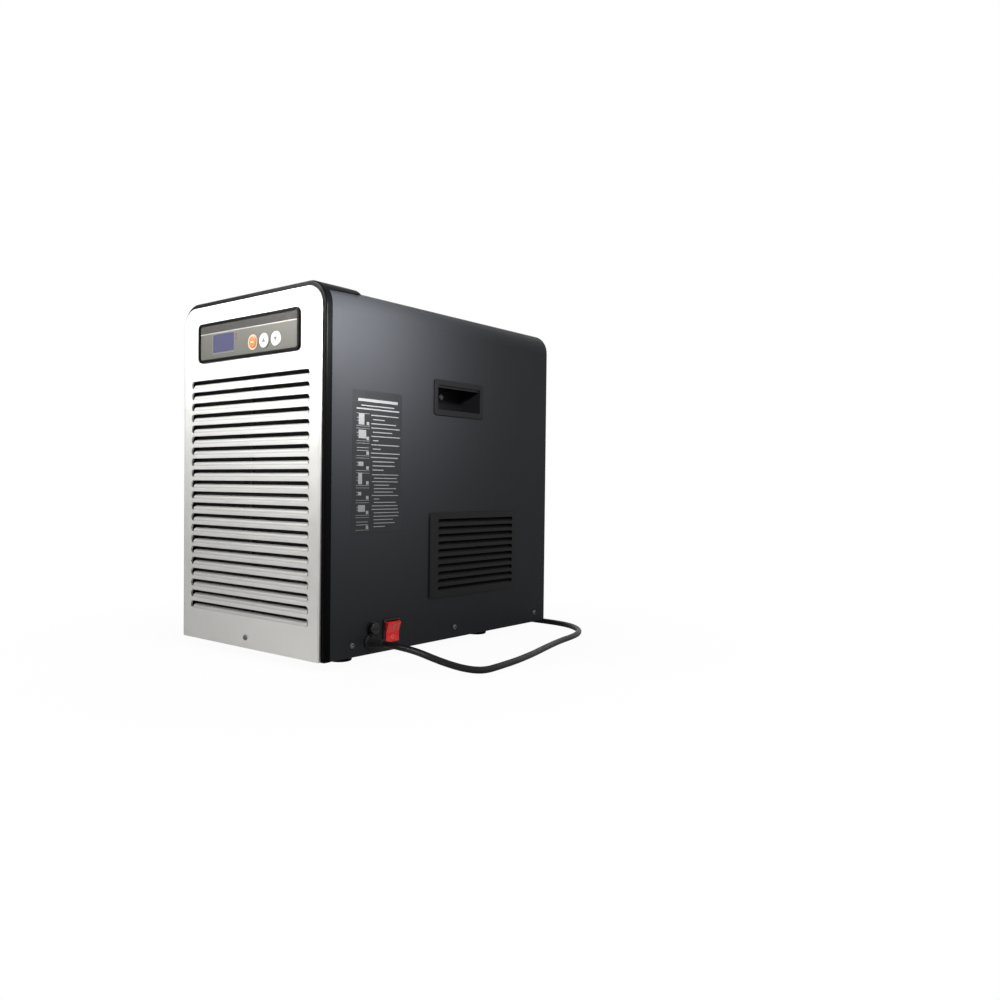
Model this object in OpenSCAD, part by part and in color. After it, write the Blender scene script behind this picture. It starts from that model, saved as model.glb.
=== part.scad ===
// Aquarium chiller: a louvred front, a folded cabinet and the refrigeration set inside.
// Millimetres, +Z up, front towards -Y. The origin is on the floor under the middle of the cabinet.
// Depths are measured back from the front face, heights up from the cabinet's underside.

/* [Cabinet] */
// Width across the cabinet's sheet-metal sides
cabinet_w = 286; // [270:1:310]
// Depth from the front face to the rear edge of the cover
body_d = 430; // [420:1:460]
// Height of the front frame above the cabinet's underside
frame_h = 437; // [430:1:460]
// Radius of the cabinet's two top corners
corner_r = 29; // [22:1:32]
// Thickness of the cabinet's sheet
sheet_t = 1.2; // [0.8:0.1:1.6]
// Thickness of the base tray's sheet
tray_t = 1.5; // [1:0.1:2.5]
// Height of the base tray's turned-up edges
tray_h = 24; // [20:1:28]
// Height of the pressed line in each shoulder, below the frame's top
shoulder_line_drop = 9; // [7:0.5:12]
// Radius of the pressed line
shoulder_line_r = 0.6; // [0.3:0.1:0.8]

/* [Front frame] */
// How far the front frame stands out from each side of the cabinet
frame_proud = 1; // [0.6:0.1:2]
// How far the frame's top stands above the cabinet's top
frame_step = 3.5; // [2.5:0.5:6]
// Radius of the frame's outer top corners
frame_r = 30; // [26:1:34]
// Width of the black border seen from the front
border_w = 6; // [5:0.5:9]
// Depth of the frame's side before the cabinet starts
frame_side_d = 9; // [7:0.5:12]
// Radius of the border's outer front edge
border_edge_r = 2; // [1:0.5:3]
// Wall of the rim that tucks into the cabinet
spigot_t = 2; // [1.5:0.1:3]
// Depth of the rim that tucks into the cabinet
spigot_d = 10; // [6:1:14]
// Length of the hood, from the front face
hood_l = 60; // [52:1:70]
// Length of the hood's level part
hood_level_l = 34; // [28:1:40]
// Height that the hood's side covers at the front
hood_side_front = 11.6; // [9:0.2:14]
// Height that the hood's side covers at its rear end
hood_side_rear = 9; // [7:0.5:11]
// Thickness left at the hood's rear end
hood_tip_t = 0.8; // [0.6:0.1:1.5]
// Width of the ledge that the louvred panel rests on
ledge_w = 4; // [3:0.5:6]
// Thickness of that ledge
ledge_t = 2; // [1.5:0.1:3]

/* [Louvred panel] */
// How far the panel's face stands out of the frame's
panel_proud = 3.5; // [2:0.1:4.5]
// Radius of the panel's outer front edges
panel_edge_r = 2; // [0.5:0.1:2.4]
// Thickness of the panel's plate
panel_t = 2.5; // [2:0.1:3.5]
// Radius of the panel's top corners
panel_r = 23.5; // [20:0.5:26]
// Number of louvres
louvre_n = 21; // [12:1:21]
// Topmost slot's lower edge, below the frame's top
louvre_drop = 111.5; // [108:0.5:116]
// Height of the lowest slot's lower edge
louvre_low_z = 38.5; // [34:0.5:42]
// Panel left beside each end of a slot
slot_margin = 17.7; // [16:0.1:30]
// Share of the louvres' spacing that a slot takes
slot_share = 0.697; // [0.6:0.001:0.75]
// Share of a slot that stays open above its blade
gap_share = 0.48; // [0.3:0.01:0.6]
// How far a blade reaches back from the panel's face
blade_d = 7.4; // [5:0.2:7.8]
// Thickness of a blade
blade_t = 1.6; // [1.2:0.1:2]
// Height of the panel's screw
panel_screw_z = 13; // [11:0.5:16]
// Radius of the boss behind the panel's screw
screw_boss_r = 4.5; // [4:0.5:6]

/* [Control panel] */
// Width of the control panel
control_w = 205; // [180:1:210]
// Height of the control panel
control_h = 50; // [48:1:54]
// Control panel's middle, below the frame's top
control_drop = 54; // [51:1:58]
// Radius of the control panel's corners
control_r = 6.5; // [4:0.5:9]
// Width of the housing's black border
control_border = 3.4; // [2.5:0.1:4]
// How far the control housing stands out of the panel's face
control_proud = 2.2; // [1:0.1:2.5]
// Depth of the control housing's rear behind the frame's face
control_d = 24; // [20:1:28]
// Wall of the control housing
control_wall = 2; // [1.5:0.1:2.5]
// Width of the display window
display_w = 43; // [36:1:50]
// Height of the display window
display_h = 21.4; // [18:0.2:24]
// Display window's left edge, from the panel's left edge
display_from_left = 33; // [30:1:40]
// Display window's top edge, from the panel's top edge
display_from_top = 17; // [15:0.5:18]
// Diameter of the up and down buttons
button_dia = 17.5; // [15:0.1:18]
// Diameter of the set button
set_button_dia = 14; // [12:0.1:15]
// Outer diameter of the ring around the set button
set_ring_dia = 18.8; // [18:0.1:19.6]
// Distance from one button to the next
button_pitch = 22.8; // [21:0.1:23]
// Set button's middle, from the panel's left edge
set_from_left = 116; // [112:1:120]
// Height of the buttons' middle, below the panel's top edge
button_from_top = 33; // [30:0.5:34]
// How far the buttons stand out of the fascia
button_proud = 1.4; // [0.8:0.1:1.5]
// Travel of the buttons
button_travel = 0.8; // [0.4:0.1:1]

/* [Handle recesses] */
// Length of a handle's flange
handle_l = 98; // [90:1:104]
// Height of a handle's flange
handle_h = 46; // [40:1:50]
// Length of the finger opening
handle_open_l = 85; // [78:1:88]
// Height of the finger opening
handle_open_h = 32; // [28:1:34]
// Depth of the recess behind the cabinet's side
handle_d = 36; // [30:1:38]
// Depth of the handle's middle, as a share of the body's
handle_t_share = 0.5302; // [0.5:0.0001:0.56]
// Handle's middle, below the frame's top
handle_drop = 119; // [114:1:126]
// Thickness of a handle's flange and walls
handle_wall = 2; // [1.5:0.1:2.5]
// Height of the grip lip that hangs from the recess's top edge
grip_lip_h = 3; // [2:0.5:4]

/* [Side grilles] */
// Length of a side grille, as a share of the body's depth
grille_l_share = 0.4279; // [0.4:0.0001:0.44]
// Height of a side grille
grille_h = 112; // [108:1:120]
// Depth of the grille's front edge, as a share of the body's
grille_t_share = 0.4; // [0.39:0.001:0.42]
// Height of the grille's lower edge
grille_low_z = 56; // [54:1:60]
// Number of slots
grille_n = 10; // [6:1:10]
// Height between one slot and the next
grille_pitch = 9.85; // [9.2:0.05:10]
// Height of a slot
grille_slot_h = 6; // [5:0.2:7]
// Height of a slot's open gap
grille_gap = 0.8; // [0.4:0.2:2]
// Depth of a grille blade
grille_blade_d = 5.4; // [4:0.2:6]
// Thickness of a grille blade
grille_blade_t = 1.2; // [1:0.1:1.4]
// Thickness of the grille's plate
grille_t = 2; // [1.6:0.1:2.5]
// How far the grille stands out of the cabinet's side
grille_proud = 1; // [0.6:0.1:1.4]
// Width of the rib at the grille's front edge
rib_w = 5; // [4:0.5:6]

/* [Switch and fuse] */
// Length of the switch frame along the cabinet
switch_l = 28; // [26:0.5:30]
// Height of the switch frame
switch_h = 30.5; // [29:0.5:32]
// Depth of the switch's middle behind the front face
switch_t = 106; // [104:1:110]
// Height of the switch's middle
switch_z = 24; // [22:0.5:26]
// Depth of the switch body behind the cabinet's side
switch_d = 26; // [22:1:30]
// Length of the rocker along the cabinet
rocker_l = 21.4; // [20:0.2:22]
// Height of the rocker
rocker_h = 24; // [22:0.5:25]
// Tilt of the rocker each way
rocker_tilt = 10; // [6:1:12]
// Depth of the fuse holder's middle behind the front face
fuse_t = 74; // [72:1:78]
// Height of the fuse holder's middle
fuse_z = 31; // [29:0.5:33]
// Diameter of the fuse cap
fuse_cap_dia = 14; // [12:0.5:15]
// How far the fuse cap stands out of the cabinet's side
fuse_cap_proud = 7.4; // [5:0.2:7.6]
// Length of the fuse holder behind the cabinet's side
fuse_body_l = 32; // [28:1:34]

/* [Mains cord] */
// Diameter of the mains cord
cord_dia = 8; // [7.5:0.1:8]
// Length of the cord's strain relief outside the cabinet
relief_l = 26; // [20:1:26]
// Diameter of the gland's collar
gland_dia = 15; // [14:0.5:16]

/* [Hose connectors] */
// Distance of the connectors' axes from the cabinet's side
connector_inset = 61; // [59:1:63]
// Depth of the front connector, as a share of the body's
connector_t_share = 0.44186; // [0.43:0.00001:0.46]
// Distance between the two connectors, as a share of the body's depth
connector_pitch_share = 0.25814; // [0.24:0.00001:0.27]
// Height of the connectors above the frame's top
connector_h = 47; // [42:1:52]
// Outer diameter of a union nut
union_dia = 50; // [46:1:52]
// Height of a union nut
union_h = 21.5; // [19:0.5:24]
// Diameter of the connector's neck below the nut
neck_dia = 43; // [41:1:45]
// Diameter of the connector's threaded spigot
spigot_dia = 39; // [37:0.5:40]
// Bore of the connectors and water pipes
water_bore_dia = 19; // [16:0.5:20]
// Diameter of the stem that passes through the cabinet's top
stem_dia = 33; // [30:0.5:35]

/* [Feet and screws] */
// Height of the rubber feet
foot_h = 11; // [8:0.5:14]
// Diameter of the rubber feet
foot_dia = 28; // [24:1:32]
// Distance of a foot's middle from the cabinet's side
foot_inset = 40; // [34:1:44]
// Depth of the front feet behind the front face
foot_front_t = 60; // [52:1:64]
// Distance of the rear feet from the cover's rear edge
foot_rear_gap = 112; // [104:1:120]
// Diameter of the screw heads
screw_head_dia = 7; // [6:0.5:8]
// Diameter of the screws' shanks
screw_dia = 3.6; // [3:0.1:4]
// Height of the side screws
side_screw_z = 14; // [10:0.5:14]

/* [Condenser and fan] */
// Width left beside the condenser's fin pack, both sides together
condenser_beside = 82; // [80:1:100]
// Top of the condenser's fin pack, below the frame's top
condenser_drop = 107; // [105:1:120]
// Depth of the condenser
condenser_d = 42; // [36:1:44]
// Depth of the condenser's front behind the front face
condenser_t = 30; // [28:1:32]
// Number of tube rows
tube_n = 10; // [6:2:12]
// Diameter of the condenser's tube
tube_dia = 7; // [6:0.5:8]
// Number of fins
fin_n = 24; // [10:1:30]
// Thickness of a fin
fin_t = 0.6; // [0.4:0.1:1]
// Width of the condenser left beside the fan rotor, both sides together
fan_beside = 16; // [16:1:30]
// Number of fan blades
fan_blade_n = 5; // [3:1:7]
// Diameter of the fan's hub
hub_dia = 52; // [44:1:56]
// Depth of the fan rotor
fan_d = 22; // [18:1:24]
// Diameter of the fan motor
motor_dia = 76; // [66:1:78]
// Length of the fan motor
motor_l = 38; // [30:1:40]
// Diameter of the fan's shaft
shaft_dia = 8; // [6:0.5:10]

/* [Compressor] */
// Diameter of the compressor's shell, as a share of the cabinet's width
compressor_share = 0.4965; // [0.46:0.0001:0.5]
// Height of the compressor's shell
compressor_h = 178; // [160:1:180]
// Gap between the compressor's shell and the cabinet's side
compressor_gap = 10; // [9:0.5:12]
// Depth of the compressor's axis, as a share of the body's
compressor_t_share = 0.6163; // [0.6:0.0001:0.63]
// Distance of a mounting hole's row inside the shell's edge
compressor_foot_in = 15; // [13:1:18]

/* [Heat exchanger] */
// Diameter of the heat exchanger's vessel, as a share of the cabinet's width
vessel_share = 0.36364; // [0.34:0.00001:0.37]
// Length of the vessel, as a share of the body's depth
vessel_l_share = 0.44186; // [0.42:0.00001:0.45]
// Depth of the vessel's front end, as a share of the body's
vessel_t_share = 0.3721; // [0.365:0.0001:0.38]
// Height of the vessel's axis
vessel_z = 130; // [126:1:136]
// Wall of the vessel
vessel_wall = 5; // [3:0.5:6]
// Width left between the vessel's outside and the coil's mean circle, both sides together
exchanger_beside = 32; // [30:1:40]
// Number of turns of the coil inside the vessel
exchanger_turns = 8; // [4:1:9]
// Diameter of that coil's tube
exchanger_tube_dia = 9; // [8:0.5:10]

/* [Hidden] */
$fn = 48;

// Clearances shared by every piece
seam = 0.3;
running = 0.05;
cut = 1;

// Sizes and places that follow from the sizes above
front_y = -body_d / 2;
base_z = foot_h;
frame_w = cabinet_w + 2 * frame_proud;
cabinet_h = frame_h - frame_step;
side_x = cabinet_w / 2;
inner_x = side_x - sheet_t;
cover_t = frame_side_d + seam;
panel_face_t = -panel_proud;
panel_back_t = panel_face_t + panel_t;
blade_back_t = panel_face_t + blade_d;
ledge_front_t = 3.3;
tray_front_t = frame_side_d + spigot_d + seam;
tray_w = 2 * (inner_x - seam);
screw_r = screw_dia / 2;
screw_head_r = screw_head_dia / 2;
screw_head_h = 1.8;
screw_l = 8;
size_step = 0.5;
function stepped(v) = round(v / size_step) * size_step;
control_z = frame_h - control_drop;
louvre_top_z = frame_h - louvre_drop;
louvre_pitch = (louvre_top_z - louvre_low_z) / (louvre_n - 1);
slot_h = louvre_pitch * slot_share;
slot_gap = slot_h * gap_share;
slot_l = frame_w - 2 * (border_w + seam + slot_margin);
handle_t = stepped(body_d * handle_t_share);
handle_z = frame_h - handle_drop;
grille_l = stepped(body_d * grille_l_share);
grille_front_t = stepped(body_d * grille_t_share);
connector_x = side_x - connector_inset;
connector_front_t = stepped(body_d * connector_t_share);
connector_pitch = stepped(body_d * connector_pitch_share);
condenser_w = cabinet_w - condenser_beside;
condenser_low_z = 40;
condenser_h = frame_h - condenser_drop - condenser_low_z;
fan_dia = condenser_w - fan_beside;
compressor_dia = stepped(cabinet_w * compressor_share);
compressor_r = compressor_dia / 2;
compressor_x = side_x - compressor_r - compressor_gap;
compressor_t = stepped(body_d * compressor_t_share);
compressor_foot = compressor_r - compressor_foot_in;
vessel_dia = stepped(cabinet_w * vessel_share);
vessel_l = stepped(body_d * vessel_l_share);
vessel_t = stepped(body_d * vessel_t_share);
exchanger_coil_dia = vessel_dia - exchanger_beside;
gland_t = 70;
gland_z = 15.5;
gland_hole_r = cord_dia / 2 + 2.2;
flange_lap = 3;

// Puts a piece at a width, a depth behind the front face and a height above the underside
module at(x, t, z) {
  translate([x, front_y + t, base_z + z]) children();
}

// Outline in width and height, reaching back from depth t by d
module plate_y(t, d) {
  translate([0, front_y + t + d, base_z]) rotate([90, 0, 0]) linear_extrude(height = d) children();
}

// Outline in depth and height, reaching to the right from x by w
module plate_x(x, w) {
  translate([x, front_y, base_z]) rotate([90, 0, 90]) linear_extrude(height = w) children();
}

// Outline in width and depth, reaching up from z by h
module plate_z(z, h) {
  translate([0, front_y, base_z + z]) linear_extrude(height = h) children();
}

// Round bars along the three axes
module rod_x(r, l) {
  rotate([0, 90, 0]) cylinder(h = l, r = r);
}
module rod_y(r, l) {
  rotate([-90, 0, 0]) cylinder(h = l, r = r);
}
module rod_z(r, l) {
  cylinder(h = l, r = r);
}

// Rectangle with round corners about its middle
module rounded_rect(w, h, r) {
  square([w - 2 * r, h], center = true);
  square([w, h - 2 * r], center = true);
  for (sx = [-1, 1], sy = [-1, 1]) {
    translate([sx * (w / 2 - r), sy * (h / 2 - r)]) circle(r = r);
  }
}

// Slot with round ends about its middle
module stadium(l, h) {
  square([l - h, h], center = true);
  for (s = [-1, 1]) {
    translate([s * (l - h) / 2, 0]) circle(r = h / 2);
  }
}

// Upright outline with square lower corners and round upper ones, standing on its base line
module arch(w, h, r) {
  translate([-w / 2, 0]) square([w, h - r]);
  translate([r - w / 2, 0]) square([w - 2 * r, h]);
  for (s = [-1, 1]) {
    translate([s * (w / 2 - r), h - r]) circle(r = r);
  }
}

// Half outline of a round can with soft edges, for turning about its axis
module can_outline(r, h, edge) {
  square([r - edge, h]);
  translate([0, edge]) square([r, h - 2 * edge]);
  for (z = [edge, h - edge]) {
    translate([r - edge, z]) circle(r = edge);
  }
}

// The right-hand piece, or its mirror image on the left
module on_side(side) {
  if (side < 0) mirror([1, 0, 0]) children();
  else children();
}

// Pan-head screw whose shank runs along +Z from the head's seat
module screw_z(shank) {
  translate([0, 0, -screw_head_h]) rotate_extrude()
    can_outline(screw_head_r, screw_head_h, screw_head_h / 3);
  rod_z(screw_r, shank);
}

// Base tray

side_screw_share = 0.521;
side_screw_ts = [43, stepped(body_d * side_screw_share), body_d - 26];
rear_screw_x_share = 0.86;
rear_screw_z_shares = [0.12, 0.5, 0.86];
foot_screw_r = screw_r;
foot_ts = [foot_front_t, body_d - foot_rear_gap];
foot_x = side_x - foot_inset;
rear_inset = 1.8;
rear_flange_d = 12;
tray_back_t = body_d - sheet_t - rear_inset - rear_flange_d - seam;
tray_d = tray_back_t - tray_front_t;
compressor_feet = [for (sx = [-1, 1], sy = [-1, 1])
  [compressor_x + sx * compressor_foot, compressor_t + sy * compressor_foot]];
bolt_r = 3;

module base_tray() {
  color("dimgray") difference() {
    union() {
      difference() {
        plate_z(0, tray_h) translate([-tray_w / 2, tray_front_t]) square([tray_w, tray_d]);
        plate_z(tray_t, tray_h)
          translate([tray_t - tray_w / 2, tray_front_t + tray_t])
          square([tray_w - 2 * tray_t, tray_d - 2 * tray_t]);
      }
      // Boss that meets the front panel's screw boss
      at(0, tray_front_t, panel_screw_z) rod_y(screw_boss_r, tray_t + screw_l);
    }
    for (x = [-foot_x, foot_x], t = foot_ts) {
      at(x, t, -cut) rod_z(foot_screw_r + seam, tray_t + 2 * cut);
    }
    for (p = compressor_feet) {
      at(p[0], p[1], -cut) rod_z(bolt_r + seam, tray_t + 2 * cut);
    }
    for (t = side_screw_ts) {
      at(-side_x, t, side_screw_z) rod_x(screw_r + running, 2 * side_x);
    }
    at(0, tray_front_t - cut, panel_screw_z) rod_y(screw_r + running, screw_l);
    // Room for the gland and the switch in the right-hand edge
    at(tray_w / 2 - tray_t - cut, gland_t, gland_z) rod_x(gland_hole_r, tray_t + 2 * cut);
    plate_x(tray_w / 2 - tray_t - cut, tray_t + 2 * cut)
      translate([switch_t - (switch_l - flange_lap) / 2, switch_z - (switch_h - flange_lap) / 2])
      square([switch_l - flange_lap, switch_h]);
  }
}

// Cabinet cover

shoulder_z = frame_h - shoulder_line_drop;
shoulder_rise = shoulder_z - (cabinet_h - corner_r);
shoulder_x = side_x - corner_r + sqrt(corner_r * corner_r - shoulder_rise * shoulder_rise);
fuse_hole_r = 6.4;
connector_ts = [connector_front_t, connector_front_t + connector_pitch];
grille_mid_t = grille_front_t + grille_l / 2;
grille_mid_z = grille_low_z + grille_h / 2;

module cover_outline() {
  difference() {
    arch(cabinet_w, cabinet_h, corner_r);
    translate([0, -cut]) arch(cabinet_w - 2 * sheet_t, cabinet_h - sheet_t + cut, corner_r - sheet_t);
    for (s = [-1, 1]) {
      translate([s * shoulder_x, shoulder_z]) circle(r = shoulder_line_r);
    }
  }
}

module side_opening(t, z, l, h, r) {
  plate_x(inner_x - cut, sheet_t + 2 * cut) translate([t, z]) rounded_rect(l, h, r);
}

// The cover and the side panels meet in the line along each shoulder
module cabinet_cover() {
  color("darkslategray") difference() {
    plate_y(cover_t, body_d - cover_t) difference() {
      cover_outline();
      translate([-cabinet_w, -cut]) square([2 * cabinet_w, shoulder_z + cut]);
    }
    for (t = connector_ts) {
      at(-connector_x, t, cabinet_h - sheet_t - cut)
        rod_z(stem_dia / 2 + seam, sheet_t + 2 * cut);
    }
  }
}

module side_panels() {
  color("darkslategray") difference() {
    plate_y(cover_t, body_d - cover_t) difference() {
      cover_outline();
      translate([-cabinet_w, shoulder_z - seam]) square([2 * cabinet_w, cabinet_h]);
    }
    for (side = [-1, 1]) on_side(side) {
      side_opening(handle_t, handle_z, handle_l - 2 * flange_lap, handle_h - 2 * flange_lap,
        handle_wall);
      side_opening(grille_mid_t, grille_mid_z, grille_l - 2 * flange_lap,
        grille_h - 2 * flange_lap, handle_wall);
      for (t = side_screw_ts) {
        at(inner_x - cut, t, side_screw_z) rod_x(screw_r + seam, sheet_t + 2 * cut);
      }
    }
    side_opening(switch_t, switch_z, switch_l - flange_lap, switch_h - flange_lap, handle_wall);
    at(inner_x - cut, fuse_t, fuse_z) rod_x(fuse_hole_r, sheet_t + 2 * cut);
    at(inner_x - cut, gland_t, gland_z) rod_x(gland_hole_r, sheet_t + 2 * cut);
  }
}

// Rear panel

rear_t = body_d - rear_inset - sheet_t;
rear_w = 2 * (inner_x - seam);
rear_h = cabinet_h - sheet_t - seam;
rear_r = corner_r - sheet_t - seam;
rear_slot_l = 84;
rear_slot_h = 5;
rear_slot_pitch = 14;
rear_slot_n = 10;
rear_slot_low_z = 60;
rear_slot_x = 62;

module rear_panel() {
  color("darkslategray") difference() {
    union() {
      plate_y(rear_t, sheet_t) arch(rear_w, rear_h, rear_r);
      plate_y(rear_t - rear_flange_d, rear_flange_d) difference() {
        arch(rear_w, rear_h, rear_r);
        translate([0, sheet_t])
          arch(rear_w - 2 * sheet_t, rear_h - 2 * sheet_t, rear_r - sheet_t);
      }
    }
    for (i = [0:rear_slot_n - 1], s = [-1, 1]) {
      plate_y(rear_t - cut, sheet_t + 2 * cut)
        translate([s * rear_slot_x, rear_slot_low_z + i * rear_slot_pitch])
        stadium(rear_slot_l, rear_slot_h);
    }
    for (s = [-1, 1], share = rear_screw_z_shares) {
      at(s * rear_w / 2 * rear_screw_x_share, rear_t - cut, rear_h * share)
        rod_y(screw_r + running, sheet_t + 2 * cut);
    }
  }
}

// Front frame: one section carried up, round both corners and across, with the hood behind

smooth_n = 8;
hood_drop = frame_step - hood_tip_t;
bottom_rail_h = 6;
spigot_x = inner_x - seam;
spigot_top = cabinet_h - sheet_t - seam;
spigot_r = corner_r - sheet_t - seam;
function smooth(u) = u * u * (3 - 2 * u);

module border_section() {
  difference() {
    translate([0, 0]) square([border_w, frame_side_d]);
    square([border_edge_r, border_edge_r]);
  }
  translate([border_edge_r, border_edge_r]) circle(r = border_edge_r);
  translate([border_w - cut, ledge_front_t]) square([ledge_w + cut, ledge_t]);
}

// What the hood leaves away: the hollow of its slope above, the open side below
module hood_cuts() {
  hood_steps = [for (i = [0:smooth_n]) i / smooth_n];
  polygon(concat(
    [for (u = hood_steps)
      [hood_level_l + u * (hood_l - hood_level_l), frame_h - hood_drop * smooth(u)]],
    [[hood_l + cut, frame_h - hood_drop], [hood_l + cut, frame_h + cut], [hood_level_l, frame_h + cut]]
  ));
  polygon([
    [frame_side_d - cut, -cut], [frame_side_d - cut, frame_h - hood_side_front],
    [hood_l + cut, frame_h - hood_side_rear], [hood_l + cut, -cut]
  ]);
}

// A section (inwards, back) carried up both sides of an arch, round its corners and across
module around_arch(w, h, r, t) {
  for (side = [-1, 1]) on_side(side) {
    translate([w / 2, front_y + t, base_z]) mirror([1, 0, 0]) linear_extrude(height = h - r) children();
    translate([w / 2 - r, front_y + t, base_z + h - r]) rotate([-90, 0, 0]) rotate([0, 0, -90])
      rotate_extrude(angle = 90) translate([r, 0]) mirror([1, 0]) children();
  }
  translate([r - w / 2, front_y + t, base_z + h]) rotate([0, 90, 0])
    linear_extrude(height = w - 2 * r) children();
}

module front_frame() {
  color("black") {
    around_arch(frame_w, frame_h, frame_r, 0) border_section();
    plate_y(ledge_front_t, ledge_t) translate([border_w - frame_w / 2, 0])
      square([frame_w - 2 * border_w, bottom_rail_h]);
    // Rim that tucks into the cabinet
    plate_y(frame_side_d - cut, spigot_d + cut) difference() {
      arch(2 * spigot_x, spigot_top, spigot_r);
      translate([0, -cut]) arch(2 * (spigot_x - spigot_t), spigot_top - spigot_t + cut, spigot_r - spigot_t);
    }
    difference() {
      plate_y(frame_side_d - cut, hood_l - frame_side_d + cut) difference() {
        arch(frame_w - 2 * running, frame_h - running, frame_r - running);
        translate([0, -cut])
          arch(cabinet_w + 2 * seam, cabinet_h + seam + cut, corner_r + seam);
      }
      plate_x(-frame_w, 2 * frame_w) hood_cuts();
    }
  }
}

// Louvred front panel

panel_w = frame_w - 2 * (border_w + seam);
panel_h = frame_h - border_w - seam;
control_open_w = control_w + 2 * seam;
control_open_h = control_h + 2 * seam;
blade_rise = slot_h - slot_gap;

module louvre_blade(face, back, rise, thick, l) {
  // A blade starts flush at the slot's lower edge and leans up and back
  rotate([90, 0, 90]) translate([0, 0, -l / 2]) linear_extrude(height = l) polygon([
    [face, -thick], [face, 0], [back, rise], [back, rise - thick]
  ]);
}

rim_reach = 6;
rim_d = ledge_front_t - panel_face_t;
rim_lap = rim_reach - cut;

module panel_rim_section() {
  difference() {
    square([rim_reach, rim_d]);
    translate([panel_t, panel_t]) square([rim_reach, rim_d]);
    square([panel_edge_r, panel_edge_r]);
  }
  translate([panel_edge_r, panel_edge_r]) circle(r = panel_edge_r);
}

module front_panel() {
  color("silver") difference() {
    union() {
      around_arch(panel_w, panel_h, panel_r, panel_face_t) panel_rim_section();
      plate_y(panel_back_t - cut, ledge_front_t - panel_back_t + cut)
        translate([(panel_t - panel_w) / 2, 0]) square([panel_w - panel_t, panel_t]);
      plate_y(panel_face_t, panel_t) difference() {
        arch(panel_w - 2 * rim_lap, panel_h - rim_lap, panel_r - rim_lap);
        translate([0, control_z]) rounded_rect(control_open_w, control_open_h, control_r);
        for (i = [0:louvre_n - 1]) {
          translate([0, louvre_top_z - i * louvre_pitch + slot_h / 2])
            stadium(slot_l, slot_h);
        }
      }
      for (i = [0:louvre_n - 1]) {
        at(0, panel_face_t, louvre_top_z - i * louvre_pitch)
          louvre_blade(0, blade_d, blade_rise, blade_t, slot_l);
      }
      at(0, panel_back_t - cut, panel_screw_z)
        rod_y(screw_boss_r, tray_front_t - panel_back_t + cut - seam);
    }
    at(0, panel_face_t - cut, panel_screw_z) rod_y(screw_r + seam, tray_front_t - panel_face_t + cut);
  }
}

module panel_screw() {
  color("gainsboro") at(0, panel_face_t, panel_screw_z) rotate([-90, 0, 0])
    screw_z(tray_front_t - panel_face_t + screw_l / 2);
}

// Dust filter behind the louvres

filter_w = cabinet_w - 30;
filter_low_z = 30;
filter_drop = 91;
filter_h = frame_h - filter_drop - filter_low_z;
filter_bar = 8;
filter_d = 8;
filter_rib = 3;
filter_rib_d = 2;
filter_t = blade_back_t + seam;
filter_mid_z = filter_low_z + filter_h / 2;
filter_rib_shares = [-0.25, 0, 0.25];

module filter_frame() {
  color("black") {
    plate_y(filter_t, filter_d) translate([0, filter_mid_z]) difference() {
      rounded_rect(filter_w, filter_h, filter_bar);
      rounded_rect(filter_w - 2 * filter_bar, filter_h - 2 * filter_bar, filter_bar / 2);
    }
    plate_y(filter_t, filter_rib_d) translate([0, filter_mid_z]) {
      square([filter_rib, filter_h - filter_bar], center = true);
      for (share = filter_rib_shares) {
        translate([0, share * filter_h]) square([filter_w - filter_bar, filter_rib], center = true);
      }
    }
  }
}

module dust_filter() {
  color("dimgray") plate_y(filter_t + filter_rib_d, filter_d - filter_rib_d)
    translate([0, filter_mid_z])
    rounded_rect(filter_w - 2 * (filter_bar + seam), filter_h - 2 * (filter_bar + seam), filter_bar / 2);
}

// Control panel

housing_front_t = panel_face_t - control_proud;
fascia_recess = 1.2;
fascia_t = housing_front_t + fascia_recess;
fascia_d = 1.6;
fascia_w = control_w - 2 * control_border - 2 * seam;
fascia_h = control_h - 2 * control_border - 2 * seam;
fascia_r = control_r - control_border;
fascia_back_t = fascia_t + fascia_d;
control_flange = 4;
control_flange_t = 1.6;
fascia_ledge = 2;
control_left = -control_w / 2;
control_top = control_z + control_h / 2;
display_x = control_left + display_from_left + display_w / 2;
display_z = control_top - display_from_top - display_h / 2;
set_x = control_left + set_from_left;
up_x = set_x + button_pitch;
down_x = up_x + button_pitch;
button_z = control_top - button_from_top;
button_flange = 1;
button_flange_t = 1.2;
button_edge = 0.7;
button_stem_r = 2.5;
button_stem_l = 3.6;
button_flange_front_t = fascia_back_t + seam;
button_back_t = button_flange_front_t + button_flange_t + button_stem_l;
tact_gap = 0.3;
tact_front_t = button_back_t + button_travel + tact_gap;
tact_size = 6;
tact_d = 3.6;
board_t = tact_front_t + tact_d;
board_thick = 1.6;
board_w = fascia_w - 8;
board_h = fascia_h - 4;
post_r = 3;
post_inset = 6;
cavity_w = control_w - 2 * control_border;
cavity_h = control_h - 2 * control_border;

module control_housing() {
  color("black") difference() {
    union() {
      plate_y(housing_front_t, control_d - housing_front_t) translate([0, control_z])
        rounded_rect(control_w, control_h, control_r);
      plate_y(panel_back_t, control_flange_t) translate([0, control_z])
        rounded_rect(control_w + 2 * control_flange, control_h + 2 * control_flange, control_r);
    }
    plate_y(housing_front_t - cut, fascia_back_t - housing_front_t + cut) translate([0, control_z])
      rounded_rect(cavity_w, cavity_h, fascia_r);
    plate_y(fascia_t, control_d - fascia_t - control_wall) translate([0, control_z])
      rounded_rect(cavity_w - fascia_ledge, cavity_h - fascia_ledge, fascia_r);
  }
  color("black") for (sx = [-1, 1], sz = [-1, 1]) {
    at(sx * (board_w / 2 - post_inset), board_t + board_thick, control_z + sz * (board_h / 2 - post_inset))
      rod_y(post_r, control_d - control_wall - board_t - board_thick + cut / 2);
  }
}

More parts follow.
